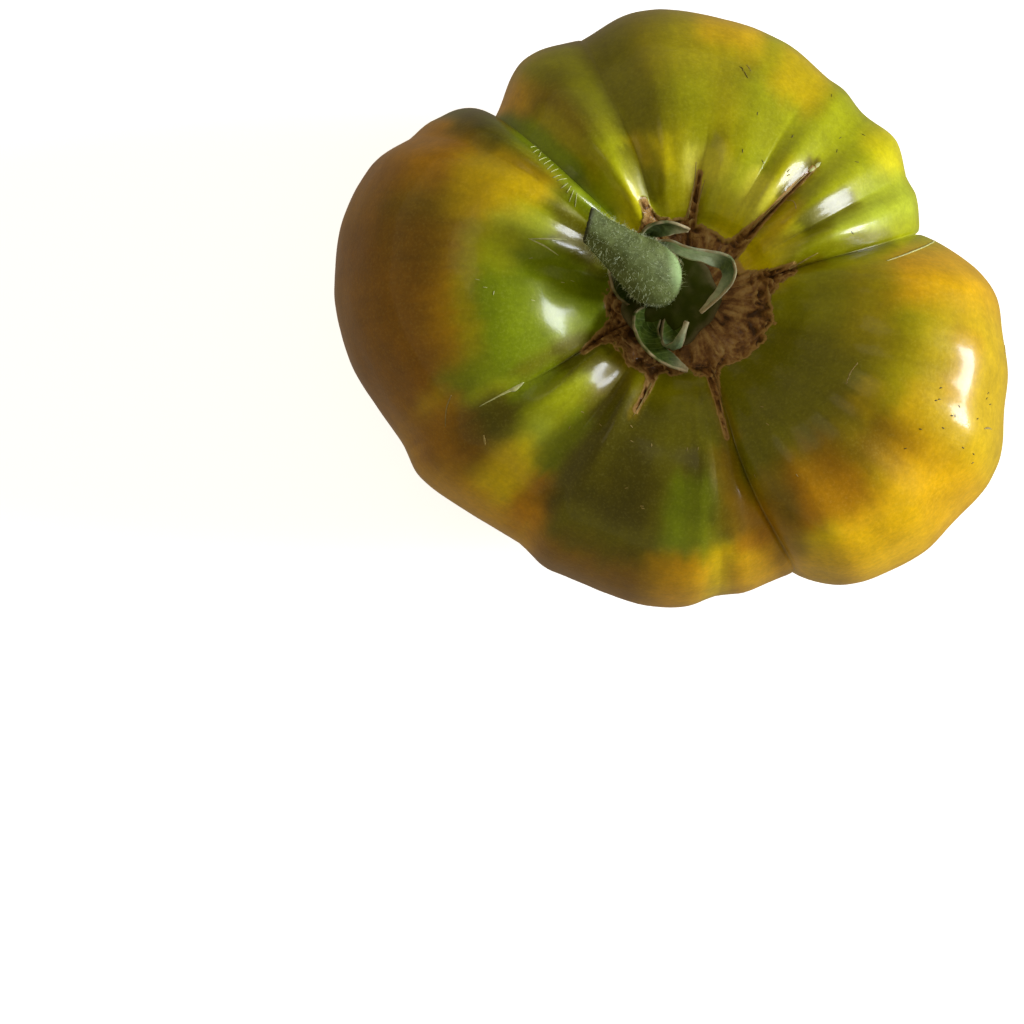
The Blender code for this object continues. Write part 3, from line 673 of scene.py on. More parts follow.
def makeFruit():
    rings, columns = ringStations(), fruitMesh["columns"]
    bpy.ops.object.select_all(action="DESELECT")
    bpy.ops.mesh.primitive_grid_add(
        x_subdivisions=columns, y_subdivisions=len(rings) - 1, size=2.0, calc_uvs=False)
    piece = bpy.context.object
    piece.name = "fruitSkin"
    # the flat sheet is wrapped round the fruit, its columns at angles and its rings at stations
    sheet = vertexPlaces(piece)
    column = np.round((sheet[:, 0] + 1) / 2 * columns).astype(int) % columns
    ring = np.round((sheet[:, 1] + 1) / 2 * (len(rings) - 1)).astype(int)
    angle = np.array([columnAngles(np.array([s])) for s in rings])[ring, column] % 360
    station = rings[ring]
    place = skinPoints(angle, station)
    # the reach goes on growing past the girth, down the underside
    reach = np.hypot(place[:, 0], place[:, 1])
    girth = skinPoints(angle, np.full(len(sheet), float(fruit["girthStation"])))
    reach = np.where(station > fruit["girthStation"], 2 * np.hypot(girth[:, 0], girth[:, 1]) - reach, reach)
    turn, radius = np.radians(angle), fruitMesh["grainRadius"]
    grain = np.stack([np.cos(turn) * radius, np.sin(turn) * radius, reach / fruitMesh["grainStep"]], axis=1)
    corky = corkCover(angle, reach, station, place)
    colour = paintSkin(angle, reach, place, grain)

    # relief: gentle swells all over, the cork sunk and wrinkled, and a thin lip of skin where they meet
    wrinkled = corkWrinkles(place)
    relief = layered(place, fruitMesh["swell"]) * (1 - corky)
    relief += corky * (cork["wrinkle"] * wrinkled - cork["sunk"])
    relief += cork["lip"] * 4 * corky * (1 - corky)
    relief *= station < fruitMesh["lastSwellStation"]
    movePlaces(piece, place + unit(place - np.array(fruit["heart"])) * relief[:, None])
    setAttributes(piece, tint=np.c_[colour, np.ones(len(sheet))], cork=corky, grain=grain, wrinkle=wrinkled)
    closeAndSmooth(piece)
    return piece


def tomatoSkin():
    # Waxy tomato skin, as grown: a thin glossy cuticle over finely mottled flesh, and dull cork at the scar
    material, tree, reads = newMaterial("waxy tomato skin", ("tint", "cork", "grain", "wrinkle"), {
        # features per millimetre, detail, roughness
        "clouds": (0.2, 5.0, 0.62),
        "grit": (1.3, 4.0, 0.7),
        "flecks": (2.6, 2.0, 0.6),
        "crumbs": (0.9, 5.0, 0.7),
        "pores": (1.5, 2.0, 0.6),
    })
    # mottling: clouds about 5 mm across, streaks along the lobes, grit, and pale flecks about 0.4 mm across
    reads["streaks"] = addNode(tree, "TexNoise", {"Scale": 1.3, "Detail": 2.0, "Roughness": 0.5},
                               {"Vector": (reads["grain"], "Vector")})
    shade = None
    for pattern, dark, light in (("clouds", 0.86, 1.14), ("streaks", 0.95, 1.05), ("grit", 0.88, 1.12)):
        part = addNode(tree, "MapRange", {1: 0.3, 2: 0.7, 3: dark, 4: light}, {0: (reads[pattern], "Fac")})
        if shade:
            part = addNode(tree, "Math", {"operation": "MULTIPLY"}, {0: (shade, 0), 1: (part, 0)})
        shade = part
    mottled = addNode(tree, "VectorMath", {"operation": "SCALE"},
                      {0: (reads["tint"], "Color"), "Scale": (shade, 0)})
    dotted = addNode(tree, "MapRange", {1: 0.52, 2: 0.76, 3: 0.0, 4: 0.07}, {0: (reads["flecks"], "Fac")})
    speckled = addNode(tree, "Mix", {7: "#D9D47A"}, {0: (dotted, 0), 6: (mottled, 0)})

    # cork: brown, lighter on the raised wrinkles and darker in the hollows between them, partly the cork's
    # own browns and partly painted light and shade on its relief, with a dry tan lip where it meets the skin
    corky = (reads["cork"], "Fac")
    folds = addNode(tree, "Math", {"operation": "MULTIPLY_ADD", 1: 0.42, 2: -0.08},
                    {0: (reads["wrinkle"], "Fac")})
    height = addNode(tree, "Math", {"operation": "MULTIPLY_ADD", 1: 0.8},
                     {0: (reads["crumbs"], "Fac"), 2: (folds, 0)})
    bark = addNode(tree, "ValToRGB", {"stops": [(0.14, paints["corkDark"]), (0.38, paints["cork"]),
                                                (0.6, paints["corkTan"]), (0.88, paints["corkLight"])]},
                   {"Fac": (height, 0)})
    colour = addNode(tree, "Mix", links={0: corky, 6: (speckled, 2), 7: (bark, "Color")})
    skinSide = addNode(tree, "Math", {"operation": "SUBTRACT", 0: 1.0}, {1: corky})
    lip = addNode(tree, "Math", {"operation": "MULTIPLY"}, {0: corky, 1: (skinSide, 0)})
    lipped = addNode(tree, "MapRange", {1: 0.06, 2: 0.24, 3: 0.0, 4: 0.85}, {0: (lip, 0)})
    rimmed = addNode(tree, "Mix", {7: paints["corkTan"]}, {0: (lipped, 0), 6: (colour, 2)})

    # the wax is glossy, the cork is dull
    rough = addNode(tree, "MapRange", {1: 0.0, 2: 1.0, 3: 0.38, 4: 0.9}, {0: corky})
    skinBump = addNode(tree, "Bump", {"Strength": 0.6, "Distance": 0.05 * mm},
                       {"Height": (reads["pores"], "Fac")})
    deep = addNode(tree, "Math", {"operation": "MULTIPLY"}, {0: (reads["crumbs"], "Fac"), 1: corky})
    bump = addNode(tree, "Bump", {"Strength": 0.9, "Distance": 0.6 * mm},
                   {"Height": (deep, 0), "Normal": (skinBump, "Normal")})
    shader = addNode(tree, "BsdfPrincipled",
                     {"IOR": 1.4, "Specular IOR Level": 0.36, "Specular Tint": "#FFEBA0", "Coat Weight": 0.38,
                      "Coat Roughness": 0.15, "Coat IOR": 1.4},
                     {"Base Color": (rimmed, 2), "Roughness": (rough, 0), "Normal": (bump, "Normal")})
    addNode(tree, "OutputMaterial", links={"Surface": (shader, "BSDF")})
    return material


skinPiece = makeFruit()
skinPiece.data.materials.append(tomatoSkin())
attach(skinPiece, "root")
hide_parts("fruit")
print("fruit done")


# Marks on the skin: healed scratches, stitch-like scars over a ridge, pale rims of the folds and small specks
marks = {
    "rise": 0.07,
    "stepsPerMm": 2.5,
    "fewestSteps": 6,
    "stitchJitter": 0.3,
    "stitchLengths": (0.6, 1.2),
    "stitchSlant": 0.25,
    "stitchTip": 0.05,
    "speckTip": 0.04,
    "halvings": 14,
    "thinnest": 0.03,
    "ragged": [(0.25, 0.7, 71)],
    # across the strip: share of its half width and of its rise
    "section": [(-1, -0.5), (-0.55, 0.6), (0, 1), (0.55, 0.6), (1, -0.5), (0, -1.6)],
    # paint, then points as (angle, reach, half width)
    "strokes": [
        ("scarPale", [(9.5, 29, 0.06), (11, 33, 0.15), (13, 38, 0.13), (15, 42, 0.05)]),
        ("scarPale", [(46.6, 25.6, 0.2), (46.2, 27.2, 0.4), (46, 28, 0.1)]),
        ("scarTan", [(48.2, 13.5, 0.08), (47.6, 17, 0.16), (47.2, 21, 0.13), (46.8, 25, 0.08)]),
        ("scarTan", [(39.5, 19.6, 0.08), (41.5, 20.2, 0.14), (43.5, 20.3, 0.1), (45, 19.8, 0.06)]),
        ("scarTan", [(92.6, 11.8, 0.12), (91.2, 14, 0.16), (89.4, 16.8, 0.12), (89, 19.5, 0.06)]),
        ("scarTan", [(86.4, 12.2, 0.1), (85.6, 14.5, 0.12), (84.2, 17, 0.06)]),
        ("scarTan", [(15, 15, 0.2), (17, 17.4, 0.16), (18, 19.4, 0.06)]),
        ("scarTan", [(245, 14.6, 0.12), (244.8, 17, 0.12), (243.6, 20.5, 0.05)]),
        ("scarPale", [(208, 28.6, 0.1), (208, 30, 0.55), (208, 31.2, 0.3), (208, 33.5, 0.12),
                      (208, 36, 0.06)]),
        ("scarTan", [(203, 39, 0.06), (205, 40.6, 0.14), (208, 42, 0.06)]),
        ("scarTan", [(214, 37.6, 0.08), (215, 38, 0.25), (216, 38.3, 0.06)]),
        ("scarTan", [(327, 25.6, 0.06), (331, 25.3, 0.1), (335, 25.6, 0.05)]),
        ("scarPale", [(158.5, 20.4, 0.08), (161, 22.5, 0.22), (164, 25.4, 0.08)]),
        ("scarPale", [(166, 20.8, 0.06), (164.6, 23.2, 0.16), (164, 25.6, 0.05)]),
        ("scarDark", [(75.4, 34.0, 0.05), (76.2, 34.6, 0.16), (76.6, 35.0, 0.05)]),
        ("scarDark", [(76.9, 35.0, 0.05), (77.3, 35.5, 0.13), (78.0, 35.6, 0.05)]),
        ("scarTan", [(75.0, 35.4, 0.05), (75.6, 35.9, 0.1), (76.4, 36.3, 0.05)]),
        ("scarTan", [(335, 47.6, 0.08), (335.6, 48.4, 0.2), (336, 49.4, 0.06)]),
        ("scarTan", [(350.5, 49.4, 0.08), (351.6, 50.2, 0.18), (352.8, 50.6, 0.06)]),
    ],
    # count, first and last angle, first and last reach, half length, half width, paint
    "stitches": (13, (143.5, 138), (22, 32), 0.85, 0.11, "scarPale"),
    "specks": [
        (16, (322, 342), (38, 50), 0.22, 0.13, "scarDark"),
        (8, (150, 185), (18, 32), 0.28, 0.06, "scarPale"),
        (12, (20, 75), (22, 40), 0.3, 0.08, "scarDark"),
        (16, (225, 300), (17, 34), 0.25, 0.07, "scarTan"),
    ],
}


def skinSpots(angle, reach):
    # places on the finished skin at the given angles and reaches, and the way it faces there
    low, high = np.zeros(len(angle)), np.full(len(angle), float(fruit["girthStation"]))
    for _ in range(marks["halvings"]):
        middle = (low + high) / 2
        place = skinPoints(angle, middle)
        inside = np.hypot(place[:, 0], place[:, 1]) < reach
        low, high = np.where(inside, middle, low), np.where(inside, high, middle)
    outward = unit(place - np.array(fruit["heart"]))
    return place + outward * layered(place, fruitMesh["swell"])[:, None], outward


def strokeShell(path):
    # a closed lens-shaped strip along the path, its edges sunk in the skin
    path = np.array(path, float)
    length = np.hypot(np.diff(path[:, 1]), np.radians(np.diff(path[:, 0])) * path[1:, 1]).sum()
    steps = max(int(length * marks["stepsPerMm"]), marks["fewestSteps"])
    line = spline(path, np.linspace(0, len(path) - 1, steps))
    place, outward = skinSpots(line[:, 0], line[:, 1])
    side = unit(np.cross(unit(np.gradient(place, axis=0)), outward))
    half = np.maximum(line[:, 2], marks["thinnest"]) * (1 + layered(place, marks["ragged"]))
    rings = [place + side * (half * across)[:, None] + outward * (marks["rise"] * up)
             for across, up in marks["section"]]
    sides = len(rings)
    faces = [(k + s, k + (s + 1) % sides, k + sides + (s + 1) % sides, k + sides + s)
             for k in range(0, (steps - 1) * sides, sides) for s in range(sides)]
    faces += [tuple(range(sides))[::-1], tuple((steps - 1) * sides + s for s in range(sides))]
    return np.stack(rings, axis=1).reshape(-1, 3), faces


def makeMarks():
    rng = np.random.default_rng(21)
    strokes = list(marks["strokes"])
    count, angles, reaches, halfLong, halfWide, paint = marks["stitches"]
    for share in np.linspace(0, 1, count):
        angle = angles[0] + (angles[1] - angles[0]) * share + rng.normal(0, marks["stitchJitter"])
        reach = reaches[0] + (reaches[1] - reaches[0]) * share
        turn = math.degrees(halfLong / reach) * rng.uniform(*marks["stitchLengths"])
        slant = rng.normal(0, marks["stitchSlant"])
        strokes.append((paint, [(angle - turn, reach - slant, marks["stitchTip"]), (angle, reach, halfWide),
                                (angle + turn, reach + slant, marks["stitchTip"])]))
    for count, angles, reaches, halfLong, halfWide, paint in marks["specks"]:
        for _ in range(count):
            angle, reach = rng.uniform(*angles), rng.uniform(*reaches)
            way = rng.uniform(0, math.tau)
            turn, out = math.degrees(halfLong * math.cos(way) / reach), halfLong * math.sin(way)
            strokes.append((paint, [(angle - turn, reach - out, marks["speckTip"]), (angle, reach, halfWide),
                                    (angle + turn, reach + out, marks["speckTip"])]))
    points, faces, tints = [], [], []
    for paint, path in strokes:
        shell, sides = strokeShell(path)
        faces += [tuple(len(points) + k for k in side) for side in sides]
        points += list(shell)
        tints += [toLinear(paints[paint])] * len(shell)
    piece = newPiece("skinMarks", points, faces)
    setAttributes(piece, tint=tints)
    closeAndSmooth(piece)
    return piece


def healedSkin():
    # Healed tomato skin, as grown: thin, dry and a little raised, tan to brown
    material, tree, reads = newMaterial("healed scar skin", ["tint"], {"clouds": (1.5, 3.0, 0.6)})
    cloudy = addNode(tree, "MapRange", {1: 0.3, 2: 0.7, 3: 0.7, 4: 1.25}, {0: (reads["clouds"], "Fac")})
    mottled = addNode(tree, "VectorMath", {"operation": "SCALE"},
                      {0: (reads["tint"], "Color"), "Scale": (cloudy, 0)})
    shader = addNode(tree, "BsdfPrincipled", {"Roughness": 0.55, "IOR": 1.42}, {"Base Color": (mottled, 0)})
    addNode(tree, "OutputMaterial", links={"Surface": (shader, "BSDF")})
    return material


skinMarks = makeMarks()
skinMarks.data.materials.append(healedSkin())
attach(skinMarks, "root")
print("marks done")


# Calyx: a low green cushion on the scar and five thin sepals, curled and dry at their tips
calyx = {
    "middle": (-3.2, 0.0),
    "radius": 7.4,
    "base": 53.2,
    "height": 2.3,
    "lumps": [(0.30, 1.9, 41)],
    "gridAcross": 18,
    "gridAlong": 66,
    "leafThickness": 0.42,
    "narrowest": 0.12,
    "midribDepth": 0.16,
    "midribWidth": 0.13,
    # a layer of noise each: waves at the edges, blisters between the veins and dry stretches of the rim
    "edgeWaves": (0.22, 1.6, 31),
    "blisters": [(0.09, 0.8, 32)],
    "dryStretches": [(0.9, 1.3, 33)],
    "rimStart": 0.9,
    "rimSoft": 0.08,
}

sepals = {
    "northEast": {
        "line": [(-2.6, 4.4, 54.3), (-4.0, 6.0, 56.6), (-4.9, 7.0, 59.4), (-4.2, 6.8, 62.0),
                 (-1.6, 5.4, 63.5), (1.3, 4.6, 64.2), (4.0, 3.9, 63.7), (4.8, 2.0, 62.8), (3.5, -0.4, 61.8),
                 (0.7, -3.1, 60.6)],
        "halfWidths": [1.6, 1.4, 1.2, 1.0, 0.9, 1.0, 1.4, 1.4, 1.0, 0.3],
        "faces": [(0, -0.8, 0.6), (-0.1, -1, 0.4), (-0.2, -1, 0.3), (-0.3, -0.9, 0.5), (-0.3, -0.7, 1),
                  (-0.1, -0.6, 1), (-0.6, -0.6, 0.9), (-1, -0.1, 0.7), (-0.8, 0.6, 0.7), (-0.7, 0.7, 0.8)],
        "arch": 0.45,
        "pale": [0, 0, 0.3, 1.0, 0.9, 0.9, 0.1, 0.2, 0.5, 1.0],
        "dry": [0, 0, 0, 0.1, 0, 0, 0, 0.05, 0.35, 1.0],
    },
    "north": {
        "line": [(-6.2, 5.6, 54.3), (-7.2, 6.9, 56.6), (-7.6, 8.1, 58.9), (-6.0, 9.4, 60.3),
                 (-3.6, 9.5, 60.6), (-0.9, 9.1, 60.0)],
        "halfWidths": [1.9, 2.1, 1.9, 1.8, 1.5, 0.3],
        "faces": [(0.3, -0.3, 1), (0.6, -0.4, 0.7), (0.9, -0.5, 0.4), (0.2, -1, 0.5), (-0.1, -1, 0.6),
                  (-0.2, -1, 0.6)],
        "arch": 0.5,
        "pale": [0, 0, 0, 0.1, 0.1, 0.5],
        "dry": [0, 0, 0, 0, 0.15, 1.0],
    },
    "west": {
        "line": [(-9.0, 0.2, 54.2), (-10.6, 1.2, 56.7), (-11.6, 2.2, 58.8), (-12.4, 3.2, 60.2),
                 (-12.8, 4.2, 61.0)],
        "halfWidths": [1.7, 1.8, 1.5, 1.0, 0.3],
        "faces": [(0.3, 0, 1), (0.6, -0.2, 0.8), (0.9, -0.4, 0.5), (1, -0.2, 0.4), (1, 0, 0.4)],
        "arch": 0.35,
        "pale": [0, 0, 0, 0.3, 0.5],
        "dry": [0, 0, 0.2, 0.6, 1.0],
    },
    "southWest": {
        "line": [(-5.6, -2.4, 54.3), (-7.3, -4.5, 56.0), (-7.2, -6.6, 57.6), (-5.6, -8.7, 58.1),
                 (-3.1, -10.2, 57.6), (-0.8, -11.4, 57.0)],
        "halfWidths": [1.4, 2.4, 2.5, 1.9, 1.2, 0.3],
        "faces": [(0.4, 0.3, 1), (0.6, 0.4, 0.8), (0.7, 0.5, 0.8), (0.6, 0.6, 0.9), (0.5, 0.6, 1),
                  (0.4, 0.6, 1)],
        "arch": 0.55,
        "pale": [0, 0, 0, 0, 0.1, 0.6],
        "dry": [0, 0, 0, 0, 0.1, 1.0],
    },
    "south": {
        "line": [(-2.4, -3.6, 54.6), (-2.9, -6.0, 55.9), (-3.2, -7.9, 57.9), (-2.6, -7.6, 60.3),
                 (-1.4, -4.6, 62.0)],
        "halfWidths": [1.8, 1.8, 1.4, 0.7, 0.25],
        "faces": [(0, 0.1, 1), (0.1, 0.8, 0.8), (0.1, 1, 0.2), (-0.1, 0.9, -0.5), (-0.2, 0.5, -0.9)],
        "arch": 0.4,
        "pale": [0, 0, 0.2, 0.2, 0.4],
        "dry": [0, 0, 0, 0, 0.8],
    },
}


def makeSepal(name, sepal):
    bpy.ops.object.select_all(action="DESELECT")
    bpy.ops.mesh.primitive_grid_add(
        x_subdivisions=calyx["gridAcross"], y_subdivisions=calyx["gridAlong"], size=2.0, calc_uvs=False)
    blade = bpy.context.object
    blade.name = name
    sheet = vertexPlaces(blade)
    across, share = sheet[:, 0], (sheet[:, 1] + 1) / 2
    station = share * (len(sepal["line"]) - 1)
    centre = spline(sepal["line"], station)
    ahead = headings(sepal["line"], station)
    face = spline(sepal["faces"], station)
    face = unit(face - ahead * np.sum(face * ahead, axis=1)[:, None])
    side = np.cross(ahead, face)
    half = np.maximum(spline(sepal["halfWidths"], station), calyx["narrowest"])
    centre = centre + side * (half * across)[:, None]
    # arched across, wavy along its edges, blistered between the veins, grooved over the midrib
    lift = sepal["arch"] * half * (across**2 - 0.4)
    waves, size, seed = calyx["edgeWaves"]
    lift += waves * np.abs(across) ** 3 * noiseAt(centre, size, seed) + layered(centre, calyx["blisters"])
    lift -= calyx["midribDepth"] * np.exp(-(across / calyx["midribWidth"]) ** 2) * half / 2
    movePlaces(blade, centre + face * lift[:, None])
    rim = smooth((np.abs(across) - calyx["rimStart"]) / calyx["rimSoft"])
    rim *= 0.55 + layered(centre, calyx["dryStretches"])
    setAttributes(blade, across=across, along=station, deep=np.zeros(len(across)),
                  pale=spline(sepal["pale"], station).clip(0, 1),
                  dry=(spline(sepal["dry"], station) + rim).clip(0, 1))
    selectOnly(blade)
    leaf = blade.modifiers.new("leaf", "SOLIDIFY")
    leaf.thickness = calyx["leafThickness"] * mm
    leaf.offset = 0.0
    bpy.ops.object.modifier_apply(modifier=leaf.name)
    bpy.ops.object.shade_smooth()
    return blade


def makeCushion():
    bpy.ops.object.select_all(action="DESELECT")
    bpy.ops.mesh.primitive_uv_sphere_add(segments=72, ring_count=28, radius=1.0)
    cushion = bpy.context.object
    cushion.name = "calyxCushion"
    ball = vertexPlaces(cushion)
    turn = np.arctan2(ball[:, 1], ball[:, 0])
    flat = np.hypot(ball[:, 0], ball[:, 1])
    # one bulge for each sepal, and finer ones between
    rim = 1 + 0.05 * np.cos(5 * turn + 0.6) + 0.02 * np.cos(11 * turn)
    places = np.stack([
        calyx["middle"][0] + calyx["radius"] * flat * np.cos(turn) * rim,
        calyx["middle"][1] + calyx["radius"] * flat * np.sin(turn) * rim,
        calyx["base"] + calyx["height"] * (0.35 + 0.65 * ball[:, 2]).clip(0),
    ], axis=1)
    places[:, 2] += (layered(places, calyx["lumps"]) + 0.16 * np.cos(5 * turn) * flat**2) * (ball[:, 2] > 0)
    movePlaces(cushion, places)
    none = np.zeros(len(places))
    dry = 0.3 * smooth((flat - 0.8) / 0.2) + 0.12 * noiseAt(places, 1.5, 42)
    setAttributes(cushion, across=none + 0.5, along=none, pale=none, deep=none + 1, dry=dry.clip(0, 1))
    bpy.ops.object.shade_smooth()
    return cushion


def sepalLeaf():
    # Fresh tomato leaf, as grown: soft, matt and finely veined, paler underneath, buff and papery where dry
    material, tree, reads = newMaterial("tomato sepal leaf", ("across", "along", "pale", "dry", "deep"),
                                        {"blots": (0.9, 4.0, 0.65)})
    blots = (reads["blots"], "Fac")
    green = addNode(tree, "ValToRGB", {"stops": [(0.3, "#26380E"), (0.72, "#546420")]}, {"Fac": blots})
    under = addNode(tree, "ValToRGB", {"stops": [(0.3, "#A6BC96"), (0.75, "#D8E6C4")]}, {"Fac": blots})
    leaf = addNode(tree, "Mix", links={0: (reads["pale"], "Fac"), 6: (green, "Color"), 7: (under, "Color")})
    # side veins run out slantwise from the midrib
    slant = addNode(tree, "Math", {"operation": "ABSOLUTE"}, {0: (reads["across"], "Fac")})
    run = addNode(tree, "Math", {"operation": "MULTIPLY_ADD", 1: -0.7},
                  {0: (slant, 0), 2: (reads["along"], "Fac")})
    waves = addNode(tree, "Math", {"operation": "MULTIPLY", 1: 15.0}, {0: (run, 0)})
    vein = addNode(tree, "Math", {"operation": "SINE"}, {0: (waves, 0)})
    veined = addNode(tree, "MapRange", {1: 0.8, 2: 1.0, 3: 0.0, 4: 0.22}, {0: (vein, 0)})
    lighter = addNode(tree, "Mix", {7: "#8C9A5A"}, {0: (veined, 0), 6: (leaf, 2)})
    paper = addNode(tree, "Mix", {6: "#6E5836", 7: "#C8B68C"}, {0: blots})
    base = addNode(tree, "Mix", {6: "#202C04", 7: "#3C3E08"}, {0: blots})
    based = addNode(tree, "Mix", links={0: (reads["deep"], "Fac"), 6: (lighter, 2), 7: (base, 2)})
    colour = addNode(tree, "Mix", links={0: (reads["dry"], "Fac"), 6: (based, 2), 7: (paper, 2)})
    bump = addNode(tree, "Bump", {"Strength": 0.6, "Distance": 0.15 * mm}, {"Height": blots})
    shader = addNode(tree, "BsdfPrincipled",
                     {"Roughness": 0.6, "IOR": 1.42, "Specular IOR Level": 0.18, "Specular Tint": "#C4CC6C"},
                     {"Base Color": (colour, 2), "Normal": (bump, "Normal")})
    addNode(tree, "OutputMaterial", links={"Surface": (shader, "BSDF")})
    return material


calyxParts = [makeCushion()] + [makeSepal(name, sepal) for name, sepal in sepals.items()]
selectOnly(calyxParts[0])
for part in calyxParts:
    part.select_set(True)
bpy.ops.object.join()
calyxPiece = bpy.context.object
calyxPiece.name = "calyxLeaves"
calyxPiece.data.materials.clear()
calyxPiece.data.materials.append(sepalLeaf())
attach(calyxPiece, "root")
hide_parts("calyx")
print("calyx done")


# Stem: the fruit's own stalk, swollen where it bends over, hairy, cut off on the slant
stem = {
    "knuckle": (-2.4, 3.6, 63.0),
    "knuckleReach": 3.6,
    "sides": 64,
    "rings": 90,
    "bendSide": (0.545, 0.84, 0.0),
    "cutAt": (-16.1, 8.6, 70.0),
    "cutNormal": (-0.96, 0.26, -0.05),
    # the rim of the cut and the hollow inside it, as (width, height)
    "cutRim": (0.45, 0.12),
    "cutHollow": (0.5, -0.35),
    "cutBrowned": 0.9,
    # centre, half width across the bend, half width along it
    "line": [((-5.2, 1.1, 54.6), 3.1, 3.1), ((-5.2, 1.1, 57.4), 3.0, 3.0), ((-5.4, 1.2, 60.5), 3.4, 3.3),
             ((-6.2, 1.8, 63.1), 4.3, 3.5), ((-8.3, 3.2, 65.4), 4.1, 3.2), ((-10.7, 4.7, 67.0), 3.4, 2.9),
             ((-13.2, 6.4, 68.4), 2.8, 2.6), ((-15.4, 7.9, 69.6), 2.4, 2.4), ((-18.6, 10.0, 71.3), 2.4, 2.4)],
    "ribHeight": 0.10,
    "ribStart": 3.5,
    "lumps": [(0.10, 1.8, 51), (0.05, 0.6, 52)],
    "hairs": 1500,
    "hairStations": (2.0, 7.4),
    "hairLength": (0.25, 0.8),
    "hairWidth": 0.026,
    "hairLean": 0.45,
    # share of the length and of the width at each ring of a hair, from its root under the skin to its bend
    "hairRings": [(-0.1, 1.0), (0.45, 0.75)],
}


def stemSurface(station, turn):
    # places on the stem's skin and the way each faces
    centres = [point for point, _, _ in stem["line"]]
    spans = [(across, along) for _, across, along in stem["line"]]
    centre = spline(centres, station)
    ahead = headings(centres, station)
    bend = np.array(stem["bendSide"])
    side = unit(bend - ahead * (ahead @ bend)[:, None])
    rise = np.cross(ahead, side)
    width = spline(spans, station)
    spoke = side * np.cos(turn)[:, None] * width[:, :1] + rise * np.sin(turn)[:, None] * width[:, 1:]
    return centre + spoke, unit(spoke)


def beyondCut(places):
    # millimetres past the plane that the stem is cut off at
    return (places - np.array(stem["cutAt"])) @ unit(np.array([stem["cutNormal"]]))[0]


def makeStem():
    bpy.ops.object.select_all(action="DESELECT")
    bpy.ops.mesh.primitive_cylinder_add(vertices=stem["sides"], radius=1.0, depth=2.0, calc_uvs=False)
    stalk = bpy.context.object
    stalk.name = "stemStalk"
    # rings: the cylinder's upright edges are subdivided
    bpy.ops.object.mode_set(mode="EDIT")
    bpy.ops.mesh.select_mode(type="EDGE")
    bpy.ops.mesh.select_all(action="DESELECT")
    bpy.ops.object.mode_set(mode="OBJECT")
    corners = vertexPlaces(stalk)
    for edge in stalk.data.edges:
        low, high = (corners[k] for k in edge.vertices)
        edge.select = abs(low[2] - high[2]) > 1
    bpy.ops.object.mode_set(mode="EDIT")
    bpy.ops.mesh.subdivide(number_cuts=stem["rings"])
    bpy.ops.object.mode_set(mode="OBJECT")
    tube = vertexPlaces(stalk)
    station = (tube[:, 2] + 1) / 2 * (len(stem["line"]) - 1)
    turn = np.arctan2(tube[:, 1], tube[:, 0])
    places, outward = stemSurface(station, turn)
    # five low ribs past the bend, winding a little, and lumps all over
    lift = stem["ribHeight"] * np.cos(5 * turn + 0.5 * station) * smooth(station - stem["ribStart"])
    for layer in stem["lumps"]:
        lift = lift + layered(places, [layer])
    movePlaces(stalk, places + outward * lift[:, None])
    bpy.ops.object.mode_set(mode="EDIT")
    bpy.ops.mesh.select_mode(type="VERT")
    bpy.ops.mesh.select_all(action="SELECT")
    bpy.ops.mesh.bisect(plane_co=[v * mm for v in stem["cutAt"]], plane_no=stem["cutNormal"], use_fill=True,
                        clear_outer=True)
    bpy.ops.mesh.select_mode(type="FACE")
    for width, height in (stem["cutRim"], stem["cutHollow"]):
        bpy.ops.mesh.inset(thickness=width * mm, depth=height * mm)
    bpy.ops.mesh.select_mode(type="VERT")
    bpy.ops.object.mode_set(mode="OBJECT")
    ends = vertexPlaces(stalk) / mm
    fromKnuckle = np.linalg.norm(ends - np.array(stem["knuckle"]), axis=1)
    setAttributes(stalk, cut=smooth(1 - np.abs(beyondCut(ends)) / stem["cutBrowned"]),
                  knuckle=smooth(1.4 - fromKnuckle / stem["knuckleReach"]))
    bpy.ops.object.shade_smooth()
    return stalk


def makeHairs():
    # short bent hairs, each a three-sided spike rooted a little under the skin
    rng = np.random.default_rng(11)
    stations = rng.uniform(*stem["hairStations"], stem["hairs"])
    roots, ways = stemSurface(stations, rng.uniform(0, math.tau, stem["hairs"]))
    behindCut = beyondCut(roots) < -0.2
    rng = np.random.default_rng(12)
    points, faces = [], []
    for root, way in zip(roots[behindCut], ways[behindCut]):
        length = rng.uniform(*stem["hairLength"])
        lean = rng.normal(0, stem["hairLean"], 3)
        side = np.cross(way, rng.normal(0, 1, 3))
        side /= np.linalg.norm(side)
        other = np.cross(way, side)
        first = len(points)
        for share, width in stem["hairRings"]:
            centre = root + (way + lean * 0.6 * max(share, 0)) * length * share
            for swing in (0, math.tau / 3, 2 * math.tau / 3):
                spoke = side * math.cos(swing) + other * math.sin(swing)
                points.append(centre + spoke * stem["hairWidth"] * width)
        points.append(root + (way * 0.7 + lean * 1.1) * length)
        for corner, after in ((0, 1), (1, 2), (2, 0)):
            faces.append((first + corner, first + after, first + 3 + after, first + 3 + corner))
            faces.append((first + 3 + corner, first + 3 + after, first + 6))
        faces.append((first + 2, first + 1, first))
    return newPiece("stemHairs", points, faces)


